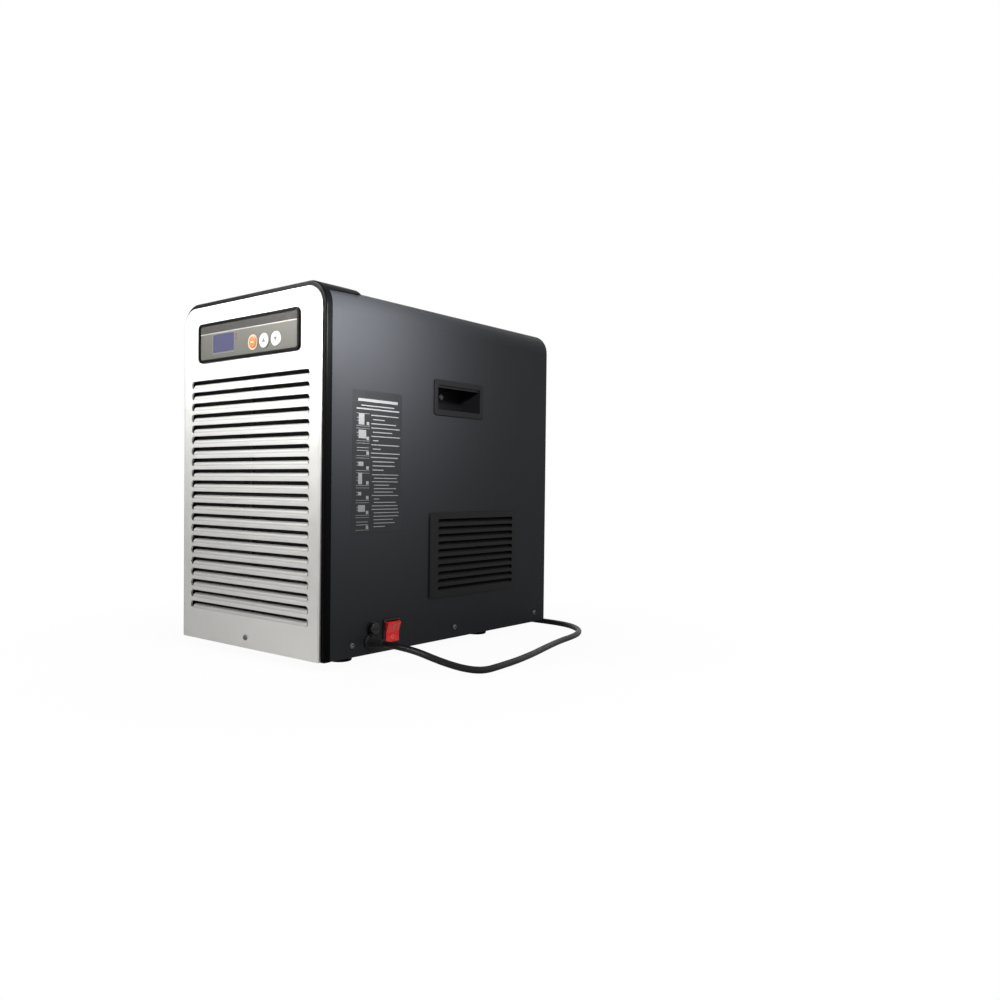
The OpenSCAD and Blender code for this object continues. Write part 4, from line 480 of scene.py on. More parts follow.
class CHILLER_OT_cord(bpy.types.Operator):
    """Lay the mains cord and its coil, with the plug at its end"""

    bl_idname = "chiller.cord"
    bl_label = "Mains Cord"

    def execute(self, context):
        start_y = COIL_CENTRE[1] - COIL_RADIUS
        lead = [(COIL_CENTRE[0] + COIL_LEAD, start_y, CORD_REST)]
        tail = [(COIL_CENTRE[0] - reach, start_y, CORD_REST + COIL_STEP)
                for reach in (COIL_LEAD, COIL_TAIL / 2, COIL_TAIL)]
        points = np.concatenate([CORD_ROUTE, lead, coil_points(), tail])
        line = bpy.data.curves.new("mains_cord_line", "CURVE")
        line.dimensions = "3D"
        line.bevel_depth = sizes().cord_diameter / 2
        line.bevel_resolution = 4
        line.resolution_u = 6
        line.use_fill_caps = True
        spline = line.splines.new("BEZIER")
        spline.bezier_points.add(len(points) - 1)
        spline.bezier_points.foreach_set("co", points.ravel())
        for point in spline.bezier_points:
            point.handle_left_type = point.handle_right_type = "AUTO"
        cord = bpy.data.objects.new("mains_cord_line", line)
        context.scene.collection.objects.link(cord)
        skin = finish("cord_rubber_skin", colours().rubber, shade=0.75, mottle=30, grain=1600,
                      depth=0.00003, rough=(0.36, 0.5), specular=0.25)
        dress(cord, skin, "chiller")
        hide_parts("mains_cord", "cord_coil")
        plug = self.plug()
        self.relief(skin)
        return {"FINISHED"}

    def plug(self):
        """Plug body lofted along -X: a squared oval |a|^n + |b|^n = 1 whose width, height and n
        change along it, with the grip's ribs as a sine on the size."""
        back = COIL_CENTRE[0] - COIL_TAIL
        middle = (COIL_CENTRE[1] - COIL_RADIUS, CORD_REST + COIL_STEP)
        s = PLUG_ROWS
        stops, half_widths, half_heights = np.array(PLUG_STATIONS).T
        wave = GRIP_RELIEF * np.sin((s - GRIP_START) * 2 * math.pi / GRIP_PITCH)
        ribs = np.where((s > GRIP_START) & (s < GRIP_END), wave, 0)
        half_w = (np.interp(s, stops, half_widths) + ribs)[:, None]
        half_h = (np.interp(s, stops, half_heights) + ribs)[:, None]
        power = np.interp(s, *np.array(PLUG_POWERS).T)[:, None]
        angle = np.arange(PLUG_SIDES) * 2 * math.pi / PLUG_SIDES
        a, b = np.cos(angle), np.sin(angle)
        reach = (np.abs(a) ** power + np.abs(b) ** power) ** (-1 / power)
        points = np.stack([np.broadcast_to((back - s)[:, None], reach.shape),
                           middle[0] + half_w * reach * a,
                           middle[1] + half_h * reach * b], axis=-1)
        ends = [np.broadcast_to(row.mean(axis=0), (1,) + row.shape) for row in points[[0, -1]]]
        points = np.concatenate([ends[0], points, ends[1]])
        faces = grid_faces(len(points), PLUG_SIDES, True)
        piece = new_piece("plug_shell", points, faces, weld=True)
        body = finish("plug_plastic", colours().moulding, shade=0.8, mottle=60, grain=2600,
                      depth=0.00004, rough=(0.38, 0.52))
        dress(piece, body, "chiller")
        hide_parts("mains_plug")
        return piece

    def relief(self, skin):
        """Strain relief turned about the cord: a straight collar, then a cone whose radius falls
        evenly to the tip, less a slit wherever the cosine of the pitch rises over a level."""
        end_radius = sizes().relief_tip
        s = np.linspace(CONE_START, CONE_END, CONE_ROWS)
        radius = np.interp(s, [CONE_START, CONE_END], [CONE_RADIUS, end_radius])
        wave = np.cos((s - CONE_START) * 2 * math.pi / SLIT_PITCH + math.pi)
        slit = np.clip(wave - SLIT_LEVEL_SHARE, 0, 1) / (1 - SLIT_LEVEL_SHARE)
        radius = radius - SLIT_DEPTH * slit * (s < SLIT_END)
        tip = ((TIP_START, end_radius - TIP_BLUNTING),) + TIP_RINGS
        profile = np.concatenate([RELIEF_COLLAR, np.stack([s, radius], axis=1), tip])
        points, faces = lathe(profile, RELIEF_SEAT, ACROSS)
        piece = new_piece("cord_relief", points, faces, weld=True)
        dress(piece, skin, "chiller")
        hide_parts("cord_gland")


# Shares of a screw head's radius: the crown's height, the rim's round edge, the recess's depth, and
# half the width and half the length of its arms with the slopes beside and beyond them
CROWN_SHARE = 0.51
RIM_SHARE = 0.06
RECESS_SHARE = 0.34
ARM_SHARE = 0.115
ARM_SLOPE_SHARE = 0.04
ARM_REACH_SHARE = 0.52
ARM_END_SHARE = 0.12
# How far the crown falls off by the rim, and the power of the rim's curve
CROWN_FALL_SHARE = 0.5
RIM_POWER = 0.4
# Distances of the head's rings from its middle, closer over the recess, and points in a ring
HEAD_RING_SHARES = np.concatenate([np.linspace(0.0, 0.62, 24), np.linspace(0.66, 1.0, 16)])
HEAD_SIDES = 40


def head_surface():
    """Cross-recess head of unit radius: a crown of height c * (1 - f * r^4) that drops to nothing
    at the rim, less a cross of two arms with sloping ends and sides."""
    angle = (np.arange(HEAD_SIDES) + 0.5) * 2 * math.pi / HEAD_SIDES
    r, angle = np.meshgrid(HEAD_RING_SHARES, angle, indexing="ij")
    rim = np.clip((1.0 - r) / RIM_SHARE, 0, 1) ** RIM_POWER
    crown = CROWN_SHARE * (1 - CROWN_FALL_SHARE * r ** 4) * rim
    x, y = r * np.cos(angle), r * np.sin(angle)

    def arm(u, v):
        """How deep the recess's arm along v is at a point, as a share."""
        beside = np.clip((ARM_SHARE - np.abs(u)) / ARM_SLOPE_SHARE, 0, 1)
        beyond = np.clip((ARM_REACH_SHARE - np.abs(v)) / ARM_END_SHARE, 0, 1)
        return beside * beyond

    recess = np.maximum(arm(x, y), arm(y, x))
    return np.stack([x, y, crown - RECESS_SHARE * recess], axis=-1)


def screw_heads(name, seats):
    """One mesh of screw heads: the unit head scaled to the screws' radius and set on each seat,
    which is a point, the level direction that the head faces, and the turn of its recess."""
    unit = head_surface() * sizes().screw_head / 2
    faces = grid_faces(*unit.shape[:2], True)
    parts = []
    for seat, out, turn in seats:
        out = np.asarray(out, float)
        side = np.array([out[1], -out[0], 0.0])
        other = np.cross(out, side)
        a = math.cos(turn) * side + math.sin(turn) * other
        b = math.cos(turn) * other - math.sin(turn) * side
        parts.append((seat + unit[..., :1] * a + unit[..., 1:2] * b + unit[..., 2:] * out, faces))
    return new_piece(name, *stacked(parts), weld=True)


# The screws' places in millimetres: along the foot of both sides, up both edges of the rear panel,
# and at the foot of the louvred panel
SIDE_X = 143
SIDE_SCREW_TS = (43, 224, 404)
SIDE_SCREW_Z = 14
REAR_SCREW_X = 121.69
REAR_SCREW_T = 428.2
REAR_SCREW_ZS = (51.84, 216.0, 371.52)
PANEL_FACE_T = -3.5
PANEL_SCREW_Z = 13
# How their recesses are turned, in radians: the first, the step to the next, and a lean by side
SIDE_TURNS = (0.5, 1.1, 0.3)
REAR_TURNS = (0.2, 0.9, 0.4)
PANEL_TURN = 0.35


def recess_turn(turns, i, side):
    """Turn of a screw's recess, which no two neighbours share."""
    first, step, lean = turns
    return first + i * step + side * lean


class CHILLER_OT_screws(bpy.types.Operator):
    """Set the cross-recess screws of the cabinet and of the louvred panel"""

    bl_idname = "chiller.screws"
    bl_label = "Screws"

    def execute(self, context):
        plated = finish("screw_plating", (0.42, 0.42, 0.41), shade=0.7, mottle=200, grain=2400,
                        depth=0.00002, rough=(0.22, 0.4), metallic=1.0)
        blackened = finish("screw_blackening", (0.15, 0.15, 0.155), shade=0.7, mottle=200,
                           grain=2400, depth=0.00002, rough=(0.3, 0.45), metallic=0.6)
        seats = [(spot(side * SIDE_X, t, SIDE_SCREW_Z), (side, 0, 0),
                  recess_turn(SIDE_TURNS, i, side))
                 for i, t in enumerate(SIDE_SCREW_TS) for side in (-1, 1)]
        seats += [(spot(side * REAR_SCREW_X, REAR_SCREW_T, z), (0, 1, 0),
                   recess_turn(REAR_TURNS, i, side))
                  for i, z in enumerate(REAR_SCREW_ZS) for side in (-1, 1)]
        heads = screw_heads("cabinet_screw_heads", seats)
        dress(heads, blackened, "chiller")
        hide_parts("cabinet_screws")
        seat = (spot(0, PANEL_FACE_T, PANEL_SCREW_Z), (0, -1, 0), PANEL_TURN)
        front = screw_heads("panel_screw_head", [seat])
        dress(front, blackened, "chiller")
        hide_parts("panel_screw")
        paint_nodes(plated, "foot_screws", "compressor_bolts")
        return {"FINISHED"}


class CHILLER_OT_cabinet(bpy.types.Operator):
    """Finish the cover, the side panels, the rear panel, the tray and the feet"""

    bl_idname = "chiller.cabinet"
    bl_label = "Cabinet"

    def execute(self, context):
        coat = finish("powder_coat", colours().cabinet, shade=0.86, mottle=5, grain=620,
                      depth=0.00005, rough=(0.34, 0.42), edge=0.0005, specular=0.08)
        paint_nodes(coat, "cabinet_cover", "side_panels", "rear_panel", "base_tray")
        rubber = finish("foot_rubber", colours().rubber, shade=0.7, mottle=60, grain=1500,
                        depth=0.00008, rough=(0.6, 0.8), edge=0.0004, specular=0.2)
        paint_nodes(rubber, "feet", "compressor_grommets", "connector_seals")
        return {"FINISHED"}


# The louvres: how many, the height of the first slot's lower edge and their pitch in millimetres
LOUVRES = 21
LOUVRE_TOP_Z = 325.5
LOUVRE_PITCH = 14.35
# Their rolled fronts: both ends, the step behind the panel's face, how square the roll is, the
# heights of its back and of its foot, and the foot's depth, in metres
LIP_ENDS = (-0.1145, 0.1175)
LIP_STEP = 0.00015
LIP_SQUARENESS = 3.2
LIP_BACK = 0.0045
LIP_FOOT = (0.0016, 0.0006)
# Painted shade: the lips are a darker copy of the panel's silver paint
LIP_PAINTED_SHADE = 0.74


class CHILLER_OT_front(bpy.types.Operator):
    """Finish the front frame with its hood, and the louvred panel"""

    bl_idname = "chiller.front"
    bl_label = "Front Frame and Louvres"

    def execute(self, context):
        moulding = finish("frame_moulding", colours().moulding, shade=0.8, mottle=12, grain=1100,
                          depth=0.00003, rough=(0.30, 0.40), edge=0.0005, specular=0.03)
        paint_nodes(moulding, "front_frame", "control_housing")
        silver = finish("panel_paint", colours().silver, shade=0.94, mottle=6, grain=2300,
                        depth=0.00002, rough=(0.32, 0.42), metallic=0.75, edge=0.0003)
        paint_nodes(silver, "front_panel")
        # The lips' finish is painted shade: the panel's silver made darker and less metallic, though
        # it is the same paint
        rolled = finish("lip_painted_shade", [LIP_PAINTED_SHADE * c for c in colours().silver], shade=0.94,
                        mottle=6, grain=2300, depth=0.00002, rough=(0.5, 0.6), metallic=0.2,
                        specular=0.2)
        self.lips(rolled)
        mesh_frame = finish("filter_plastic", colours().trim, shade=0.7, mottle=40, grain=1200,
                            depth=0.00004, rough=(0.55, 0.7))
        foam = finish("filter_foam_cells", (0.010, 0.010, 0.011), shade=0.4, mottle=90, grain=520,
                      depth=0.0009, rough=(0.85, 0.98), cells=True)
        paint_nodes(mesh_frame, "filter_frame")
        paint_nodes(foam, "dust_filter")
        return {"FINISHED"}

    def lips(self, paint):
        """The rolled fronts of the louvres: from a slot's lower edge each rises along a quarter
        superellipse, t = depth * (1 - cos(u)**p), z = rise * sin(u)**p with p = 2 / squareness,
        and its back lies on the blade."""
        s = sizes()
        turn = np.linspace(0, math.pi / 2, 17)
        power = 2 / LIP_SQUARENESS
        arc = np.stack([LIP_STEP + s.lip_depth * (1 - np.abs(np.cos(turn)) ** power),
                        s.lip_rise * np.sin(turn) ** power], axis=1)
        section = np.concatenate([arc, [[s.lip_depth, LIP_BACK], LIP_FOOT]])
        count = len(section)
        k = np.arange(count)
        faces = np.stack([k, k + count, (k + 1) % count + count, (k + 1) % count], axis=1).tolist()
        faces += [(k[::-1] + count).tolist(), k.tolist()]
        parts = []
        for i in range(LOUVRES):
            low = spot(0, PANEL_FACE_T, LOUVRE_TOP_Z - LOUVRE_PITCH * i)
            ends = [np.stack([np.full(count, x), low[1] + section[:, 0], low[2] + section[:, 1]],
                             axis=1) for x in LIP_ENDS]
            parts.append((np.concatenate(ends), faces))
        lips = new_piece("louvre_lips", *stacked(parts), smooth=False)
        # The lips wear the darker copy of the silver, which is painted shade
        dress(lips, paint, "chiller")


# The control panel, in metres: the fascia's face and width, the top of its housing and the
# housing's border above the fascia
FASCIA_Y = FRONT_Y - 0.0045
FASCIA_WIDTH = 0.1976
HOUSING_TOP = BASE_Z + 0.408
HOUSING_BORDER = 0.0037
# Round upper corners of the band, and the thickness of what lies on the fascia
BAND_CORNER = 0.0028
BAND_THICKNESS = 0.0002
INLAY_THICKNESS = 0.00015
# The rim around the display: its middle, its size between the bars' middle lines, and the bars
DISPLAY_MIDDLE = (-0.048, BASE_Z + 0.3803)
DISPLAY_SIZE = (0.0474, 0.0248)
RIM_BAR_HIGH = 0.0015
RIM_BAR_WIDE = 0.0016
# The buttons' row: its height, the face that the marks lie on, and each button's middle
BUTTON_Z = BASE_Z + 0.375
BUTTON_FACE_Y = FRONT_Y - 0.0059
SET_X = 0.0135
ARROWS = (("up_arrow", 0.0363, 1), ("down_arrow", 0.0591, -1))
ARROW_HALF = 0.0034
ARROW_FOOT = 0.0022
ARROW_TIP = 0.0036
SET_BAR_SIZE = (0.0056, 0.0013)
SET_BAR_CORNER = 0.0006
MARK_THICKNESS = 0.00012
# The two indicator lenses: their column, heights, diameter and how far they stand out
LENS_X = -0.021
LENS_ZS = (BASE_Z + 0.3885, BASE_Z + 0.383)
LENS_DIAMETER = 0.0022
LENS_HEIGHT = 0.0004
LENS_EDGE = 0.00025


class CHILLER_OT_controls(bpy.types.Operator):
    """Finish the control panel and put on its band, marks and arrows"""

    bl_idname = "chiller.controls"
    bl_label = "Control Panel"

    def execute(self, context):
        c = colours()
        plate = finish("fascia_brushed", c.fascia, shade=0.85, mottle=9, grain=900, depth=0.00002,
                       rough=(0.36, 0.48), metallic=0.3, stretch=(0.05, 1, 1), specular=0.3)
        paint_nodes(plate, "control_fascia")
        tint = finish("display_tint", c.display, shade=0.75, mottle=25, grain=1800, depth=0.000004,
                      rough=(0.08, 0.14), coat=0.6)
        paint_nodes(tint, "display_window")
        amber = finish("amber_gloss", c.amber, shade=0.8, mottle=90, grain=1900, depth=0.00001,
                       rough=(0.12, 0.2), coat=0.7, edge=0.0004)
        paint_nodes(amber, "set_button")
        ring = finish("ring_satin", c.ring, shade=0.88, mottle=120, grain=2200, depth=0.00001,
                      rough=(0.28, 0.4), edge=0.0003)
        paint_nodes(ring, "set_button_ring")
        white = finish("button_white_gloss", c.white, shade=0.93, mottle=100, grain=2000,
                       depth=0.00001, rough=(0.2, 0.3), coat=0.3, edge=0.0004)
        paint_nodes(white, "up_button", "down_button")
        board = finish("board_mask", (0.012, 0.10, 0.035), shade=0.7, mottle=80, grain=900,
                       depth=0.00005, rough=(0.3, 0.45))
        paint_nodes(board, "control_board")
        self.band()
        self.display_rim()
        self.marks()
        self.lenses()
        return {"FINISHED"}

    def band(self):
        """The dark band: a plate with two round upper corners, and the pale line under it."""
        s = sizes()
        top = HOUSING_TOP - HOUSING_BORDER
        fascia = (0, FASCIA_Y, 0)
        gloss = finish("band_gloss", (0.024, 0.020, 0.015), shade=0.8, mottle=20, grain=1500,
                       depth=0.00001, rough=(0.16, 0.24), coat=0.3)
        dark = rounded_outline(FASCIA_WIDTH, s.band_height, (0, BAND_CORNER, BAND_CORNER, 0))
        dark = shifted(dark, 0, top - s.band_height / 2)
        lay_plates("fascia_band", [dark], fascia, ACROSS, UP, BAND_THICKNESS, gloss, "chiller")
        light = finish("line_silver", (0.30, 0.29, 0.26), shade=0.9, mottle=40, grain=1800,
                       depth=0.00001, rough=(0.3, 0.4), metallic=0.6)
        line = rounded_outline(FASCIA_WIDTH, s.line_height, (0,) * 4, 2)
        line = shifted(line, 0, top - s.band_height - s.line_height / 2)
        lay_plates("fascia_line", [line], fascia, ACROSS, UP, INLAY_THICKNESS, light, "chiller")

    def display_rim(self):
        """Four flat bars around the display: two level ones, and two upright ones inside them."""
        x, z = DISPLAY_MIDDLE
        wide, high = DISPLAY_SIZE
        aside = (wide - RIM_BAR_WIDE) / 2
        outlines = []
        for side in (1, -1):
            level = rounded_outline(wide, RIM_BAR_HIGH, (0,) * 4, 2)
            upright = rounded_outline(RIM_BAR_WIDE, high - RIM_BAR_HIGH, (0,) * 4, 2)
            outlines += [shifted(level, x, z + side * high / 2), shifted(upright, x + side * aside, z)]
        lilac = finish("rim_lilac", (0.115, 0.112, 0.135), shade=0.9, mottle=40, grain=1800,
                       depth=0.00001, rough=(0.3, 0.4))
        lay_plates("display_rim", outlines, (0, FASCIA_Y, 0), ACROSS, UP, INLAY_THICKNESS, lilac,
                   "chiller")

    def marks(self):
        """Arrows of three corners on the up and down buttons, and a short bar on the set button."""
        face = (0, BUTTON_FACE_Y, 0)
        arrow = np.array([[-ARROW_HALF, -ARROW_FOOT], [ARROW_HALF, -ARROW_FOOT], [0.0, ARROW_TIP]])
        grey = finish("mark_grey", (0.10, 0.10, 0.105), shade=0.85, mottle=300, grain=2500,
                      depth=0.000004, rough=(0.4, 0.5))
        for name, x, way in ARROWS:
            lay_plates(name, [shifted(way * arrow, x, BUTTON_Z)], face, ACROSS, UP, MARK_THICKNESS,
                       grey, name.replace("arrow", "button"))
        bar = shifted(rounded_outline(*SET_BAR_SIZE, (SET_BAR_CORNER,) * 4, 5), SET_X, BUTTON_Z)
        cream = finish("mark_cream", (0.86, 0.74, 0.55), shade=0.9, mottle=300, grain=2500,
                       depth=0.000004, rough=(0.35, 0.45))
        lay_plates("set_bar", [bar], face, ACROSS, UP, MARK_THICKNESS, cream, "set_button")

    def lenses(self):
        """Two small round indicator lenses beside the display, with soft edges."""
        dot = rounded_outline(LENS_DIAMETER, LENS_DIAMETER, (LENS_DIAMETER / 2,) * 4, 6)
        dots = [shifted(dot, LENS_X, z) for z in LENS_ZS]
        red = finish("lens_red", (0.22, 0.03, 0.03), shade=0.7, mottle=400, grain=2600,
                     depth=0.000004, rough=(0.1, 0.18), coat=0.6)
        lenses = lay_plates("indicator_lenses", dots, (0, FASCIA_Y, 0), ACROSS, UP, LENS_HEIGHT,
                            red, "chiller")
        soften(lenses, LENS_EDGE)


# The rivet in the back of the right handle recess, in millimetres, with its head's radius and
# height and how far it is sunk, in metres
RIVET_X = 107.1
RIVET_T = 233
RIVET_Z = 324
RIVET_RADIUS = 0.0042
RIVET_HEIGHT = 0.0013
RIVET_SUNK = 0.0002
# Painted shade behind a side grille, a dark sheet: its middle in millimetres, its size and corners in
# metres
SHADE_SHEET_X = 138.6
SHADE_SHEET_T = 264
SHADE_SHEET_Z = 112
SHADE_SHEET_SIZE = (0.172, 0.100)
SHADE_SHEET_CORNER = 0.003
SHADE_SHEET_THICKNESS = 0.0002
# The side label: its middle in millimetres, and its corners and layers in metres
LABEL_T = 81.3
LABEL_Z = 231
LABEL_CORNER = 0.002
LABEL_THICKNESS = 0.00015
INK_THICKNESS = 0.00004
# What is printed on it, in millimetres from its middle, each as left end, height, width and
# thickness: the heading's rule and the two bars under it
HEADING_BARS = ((-32.0, 72.4, 65.0, 3.4), (-27.0, 66.0, 54.0, 1.3), (-34.5, 62.1, 70.0, 1.7))
# Rows of plain bars: their widths, the width past which a bar is a first row and starts farther
# left, the left ends of both kinds, the first height, the pitch and the thickness
UPPER_WIDTHS = (45, 19, 41, 48, 32, 48, 9, 47, 13, 48, 45, 36, 37, 18)
LOWER_WIDTHS = (44, 38, 43, 25, 37, 32, 44, 9, 37, 43, 44, 42, 41, 32, 35, 19)
BAR_ROWS = ((UPPER_WIDTHS, 40, (-11.0, -8.2), 55.2, 5.02, 1.25),
            (LOWER_WIDTHS, 42, (-9.0, -5.8), -15.7, 4.16, 1.0))
# A column of cells: the width and the height of the block in each, the first cell's height and the
# cells' pitch, then a cell's two rules, two dashes, small square and block as left end, height in
# the cell, width and thickness
BLOCKS = ((9, 13), (12, 10), (0, 0), (8, 5), (6, 13), (5, 4), (11, 8), (0, 0))
CELL_TOP = 49.0
CELL_PITCH = 17.6
CELL_RULES = ((-34.5, 7.4, 21.0, 0.45), (-34.5, -7.4, 21.0, 0.45))
DASH_HEIGHTS = (2.2, -1.2)
DASH_LEFT = -33.6
DASH_WIDTH = 2.2
EMPTY_DASH_WIDTH = 18.6
DASH_THICKNESS = 0.7
CELL_SQUARE = (-18.4, -4.2, 4.0, 4.0)
BLOCK_LEFT = -31.0
BLOCK_RISE = 0.6


class CHILLER_OT_sides(bpy.types.Operator):
    """Finish the handles and grilles and lay the plain label on the right side"""

    bl_idname = "chiller.sides"
    bl_label = "Handles, Grilles and Label"

    def execute(self, context):
        trim = finish("trim_grain", colours().trim, shade=0.8, mottle=25, grain=1300,
                      depth=0.00006, rough=(0.40, 0.52), edge=0.0004, specular=0.16)
        paint_nodes(trim, "handle_cup_left", "handle_cup_right", "side_grille_left",
                    "side_grille_right")
        self.rivet()
        # The dark sheets behind the grilles are painted shade in the gaps between the blades
        self.shade_sheet()
        self.label()
        return {"FINISHED"}

    def rivet(self):
        """A plated rivet in the back of the right handle recess, its head a flattened half sphere:
        radius = r * cos(u), height = h * sin(u). The left head isn't drawn: its faces count on
        from the rows of the profile, not from all the points, and so they lie on the right one."""
        turn = np.linspace(0, math.pi / 2, 9)
        crown = np.stack([RIVET_HEIGHT * np.sin(turn), RIVET_RADIUS * np.cos(turn)], axis=1)
        head = np.concatenate([[(-RIVET_SUNK, 0.0), (-RIVET_SUNK, RIVET_RADIUS)], crown])
        right, left = [lathe(head, spot(side * RIVET_X, RIVET_T, RIVET_Z), (side, 0, 0), 32)
                       for side in (1, -1)]
        points = np.concatenate([right[0], left[0]])
        faces = np.concatenate([right[1], left[1] + len(head)])
        plated = finish("rivet_plating", (0.75, 0.75, 0.74), shade=0.9, mottle=200, grain=2400,
                        depth=0.00001, rough=(0.25, 0.35), metallic=0.4)
        rivet = new_piece("handle_rivets", points, faces, weld=True)
        dress(rivet, plated, "chiller")

    def shade_sheet(self):
        """A dark matte sheet on the backs of the grilles' blades, on both sides: painted shade in
        their gaps.
        """
        shade_matte = finish("shade_sheet_matte", (0.0035, 0.0035, 0.004), shade=0.6, mottle=120, grain=1400,
                       depth=0.0003, rough=(0.8, 0.95), specular=0.1, cells=True)
        outline = rounded_outline(*SHADE_SHEET_SIZE, (SHADE_SHEET_CORNER,) * 4, 6)
        parts = [plates([outline], spot(side * SHADE_SHEET_X, SHADE_SHEET_T, SHADE_SHEET_Z), (0, side, 0), UP,
                        SHADE_SHEET_THICKNESS) for side in (1, -1)]
        shade_sheet = new_piece("grille_shade_sheet", *stacked(parts), smooth=False)
        dress(shade_sheet, shade_matte, "chiller")

    def label(self):
        """A dark plate, and on it plain rules, bars, cells and blocks, all of them rectangles."""
        s = sizes()
        middle = spot(SIDE_X, LABEL_T, LABEL_Z)
        plate = rounded_outline(s.label_width, s.label_height, (LABEL_CORNER,) * 4, 6)
        satin = finish("label_satin", colours().label, shade=0.9, mottle=12, grain=1400,
                       depth=0.00001, rough=(0.42, 0.5), specular=0.3)
        lay_plates("side_label", [plate], middle, BACKWARD, UP, LABEL_THICKNESS, satin, "chiller")
        ink = finish("label_ink", (0.15, 0.15, 0.154), shade=0.85, mottle=60, grain=2400,
                     depth=0.000003, rough=(0.45, 0.55))
        outlines = [self.rectangle(*bar) for bar in self.printed_bars()]
        lay_plates("label_rules", outlines, middle + [LABEL_THICKNESS, 0, 0], BACKWARD, UP,
                   INK_THICKNESS, ink, "chiller")

    def rectangle(self, left, height, wide, high):
        """Outline in metres of a bar given in millimetres: left end, middle height and size."""
        low, top = height - high / 2, height + high / 2
        corners = [[left, low], [left + wide, low], [left + wide, top], [left, top]]
        return MM * np.array(corners)

    def printed_bars(self):
        """The label's heading, its rows of bars, and its column of cells with their blocks."""
        bars = list(HEADING_BARS)
        for widths, first_width, (first_left, left), top, pitch, thickness in BAR_ROWS:
            for i, wide in enumerate(widths):
                start = first_left if wide > first_width else left
                bars.append((start, top - pitch * i, wide, thickness))
        for i, (wide, high) in enumerate(BLOCKS):
            middle = CELL_TOP - CELL_PITCH * i
            dash_width = DASH_WIDTH if wide else EMPTY_DASH_WIDTH
            cell = list(CELL_RULES)
            cell += [(DASH_LEFT, z, dash_width, DASH_THICKNESS) for z in DASH_HEIGHTS]
            cell.append(CELL_SQUARE)
            if wide:
                cell.append((BLOCK_LEFT, BLOCK_RISE, wide, high))
            bars += [(left, middle + z, width, thickness) for left, z, width, thickness in cell]
        return bars


# The rocker at rest, in metres and radians: its middle line, its pivot, how far the valley between
# its faces lies from the pivot, and its tilt to either side
ROCKER_Y = FRONT_Y + 0.106
ROCKER_PIVOT = (0.142, BASE_Z + 0.024)
ROCKER_VALLEY = 0.0042
ROCKER_TILT = math.radians(10)
# Its marks: how far they lie from the valley, the widths of their lines, the number of parts in
# the ring and their thickness
MARK_REACH = 0.0062
MARK_BAR_HALF = 0.0005
MARK_LINE = 0.0009
MARK_PARTS = 32
ROCKER_MARK_THICKNESS = 0.00008


class CHILLER_OT_switch(bpy.types.Operator):
    """Finish the rocker switch and the fuse holder, and put on the rocker's marks"""

    bl_idname = "chiller.switch"
    bl_label = "Switch and Fuse"

    def execute(self, context):
        black = finish("switch_black", colours().moulding, shade=0.8, mottle=80, grain=1900,
                       depth=0.00002, rough=(0.3, 0.42), edge=0.0003)
        paint_nodes(black, "switch_frame", "fuse_holder", "fuse_cap", "terminal_cover")
        red = finish("rocker_gloss", colours().rocker, shade=0.85, mottle=70, grain=1500,
                     depth=0.00001, rough=(0.16, 0.25), coat=0.5, edge=0.0005)
        paint_nodes(red, "switch_rocker")
        cap = finish("fuse_ends", (0.62, 0.62, 0.60), shade=0.8, mottle=200, grain=1500,
                     depth=0.00001, rough=(0.2, 0.3), metallic=1.0)
        paint_nodes(cap, "fuse_link")
        self.marks()
        return {"FINISHED"}

    def marks(self):
        """A straight bar on the upper face and a round ring on the lower one, each in the plane of
        its face: at rest the upper face leans by twice the rocker's tilt and the lower by nothing."""
        half = sizes().rocker_mark / 2
        pivot_x, pivot_z = ROCKER_PIVOT
        along = np.array([math.sin(2 * ROCKER_TILT), 0.0, math.cos(2 * ROCKER_TILT)])
        valley = np.array([pivot_x + ROCKER_VALLEY * math.cos(ROCKER_TILT), ROCKER_Y,
                           pivot_z - ROCKER_VALLEY * math.sin(ROCKER_TILT)])
        bar = np.array([[-MARK_BAR_HALF, -half], [MARK_BAR_HALF, -half], [MARK_BAR_HALF, half],
                        [-MARK_BAR_HALF, half]])
        turn = np.linspace(0, 2 * math.pi, MARK_PARTS + 1)
        circle = np.stack([np.cos(turn), np.sin(turn)], axis=1)
        outer, inner = circle * half, circle * (half - MARK_LINE)
        ring = [np.array([inner[k], outer[k], outer[k + 1], inner[k + 1]])
                for k in range(MARK_PARTS)]
        parts = [plates([bar], valley + MARK_REACH * along, BACKWARD, along, ROCKER_MARK_THICKNESS),
                 plates(ring, valley - MARK_REACH * np.array(UP), BACKWARD, UP,
                        ROCKER_MARK_THICKNESS)]
        marks = new_piece("rocker_marks", *stacked(parts), smooth=False)
        paint = finish("mark_pale_red", (0.90, 0.16, 0.12), shade=0.92, mottle=300, grain=2500,
                       depth=0.000004, rough=(0.4, 0.5))
        dress(marks, paint, "rocker")


class CHILLER_OT_connectors(bpy.types.Operator):
    """Finish the hose connectors and their union nuts"""

    bl_idname = "chiller.connectors"
    bl_label = "Hose Connectors"

    def execute(self, context):
        gloss = finish("union_gloss", colours().union, shade=0.8, mottle=30, grain=1200,
                       depth=0.00003, rough=(0.16, 0.26), edge=0.0005, coat=0.2)
        paint_nodes(gloss, "inlet_connector", "outlet_connector", "inlet_union_nut",
                    "outlet_union_nut", "connector_lock_nuts")
        pipe = finish("pipe_grey", (0.05, 0.052, 0.056), shade=0.85, mottle=30, grain=1200,
                      depth=0.00003, rough=(0.32, 0.42))
        paint_nodes(pipe, "water_pipes", "heat_exchanger")
        return {"FINISHED"}


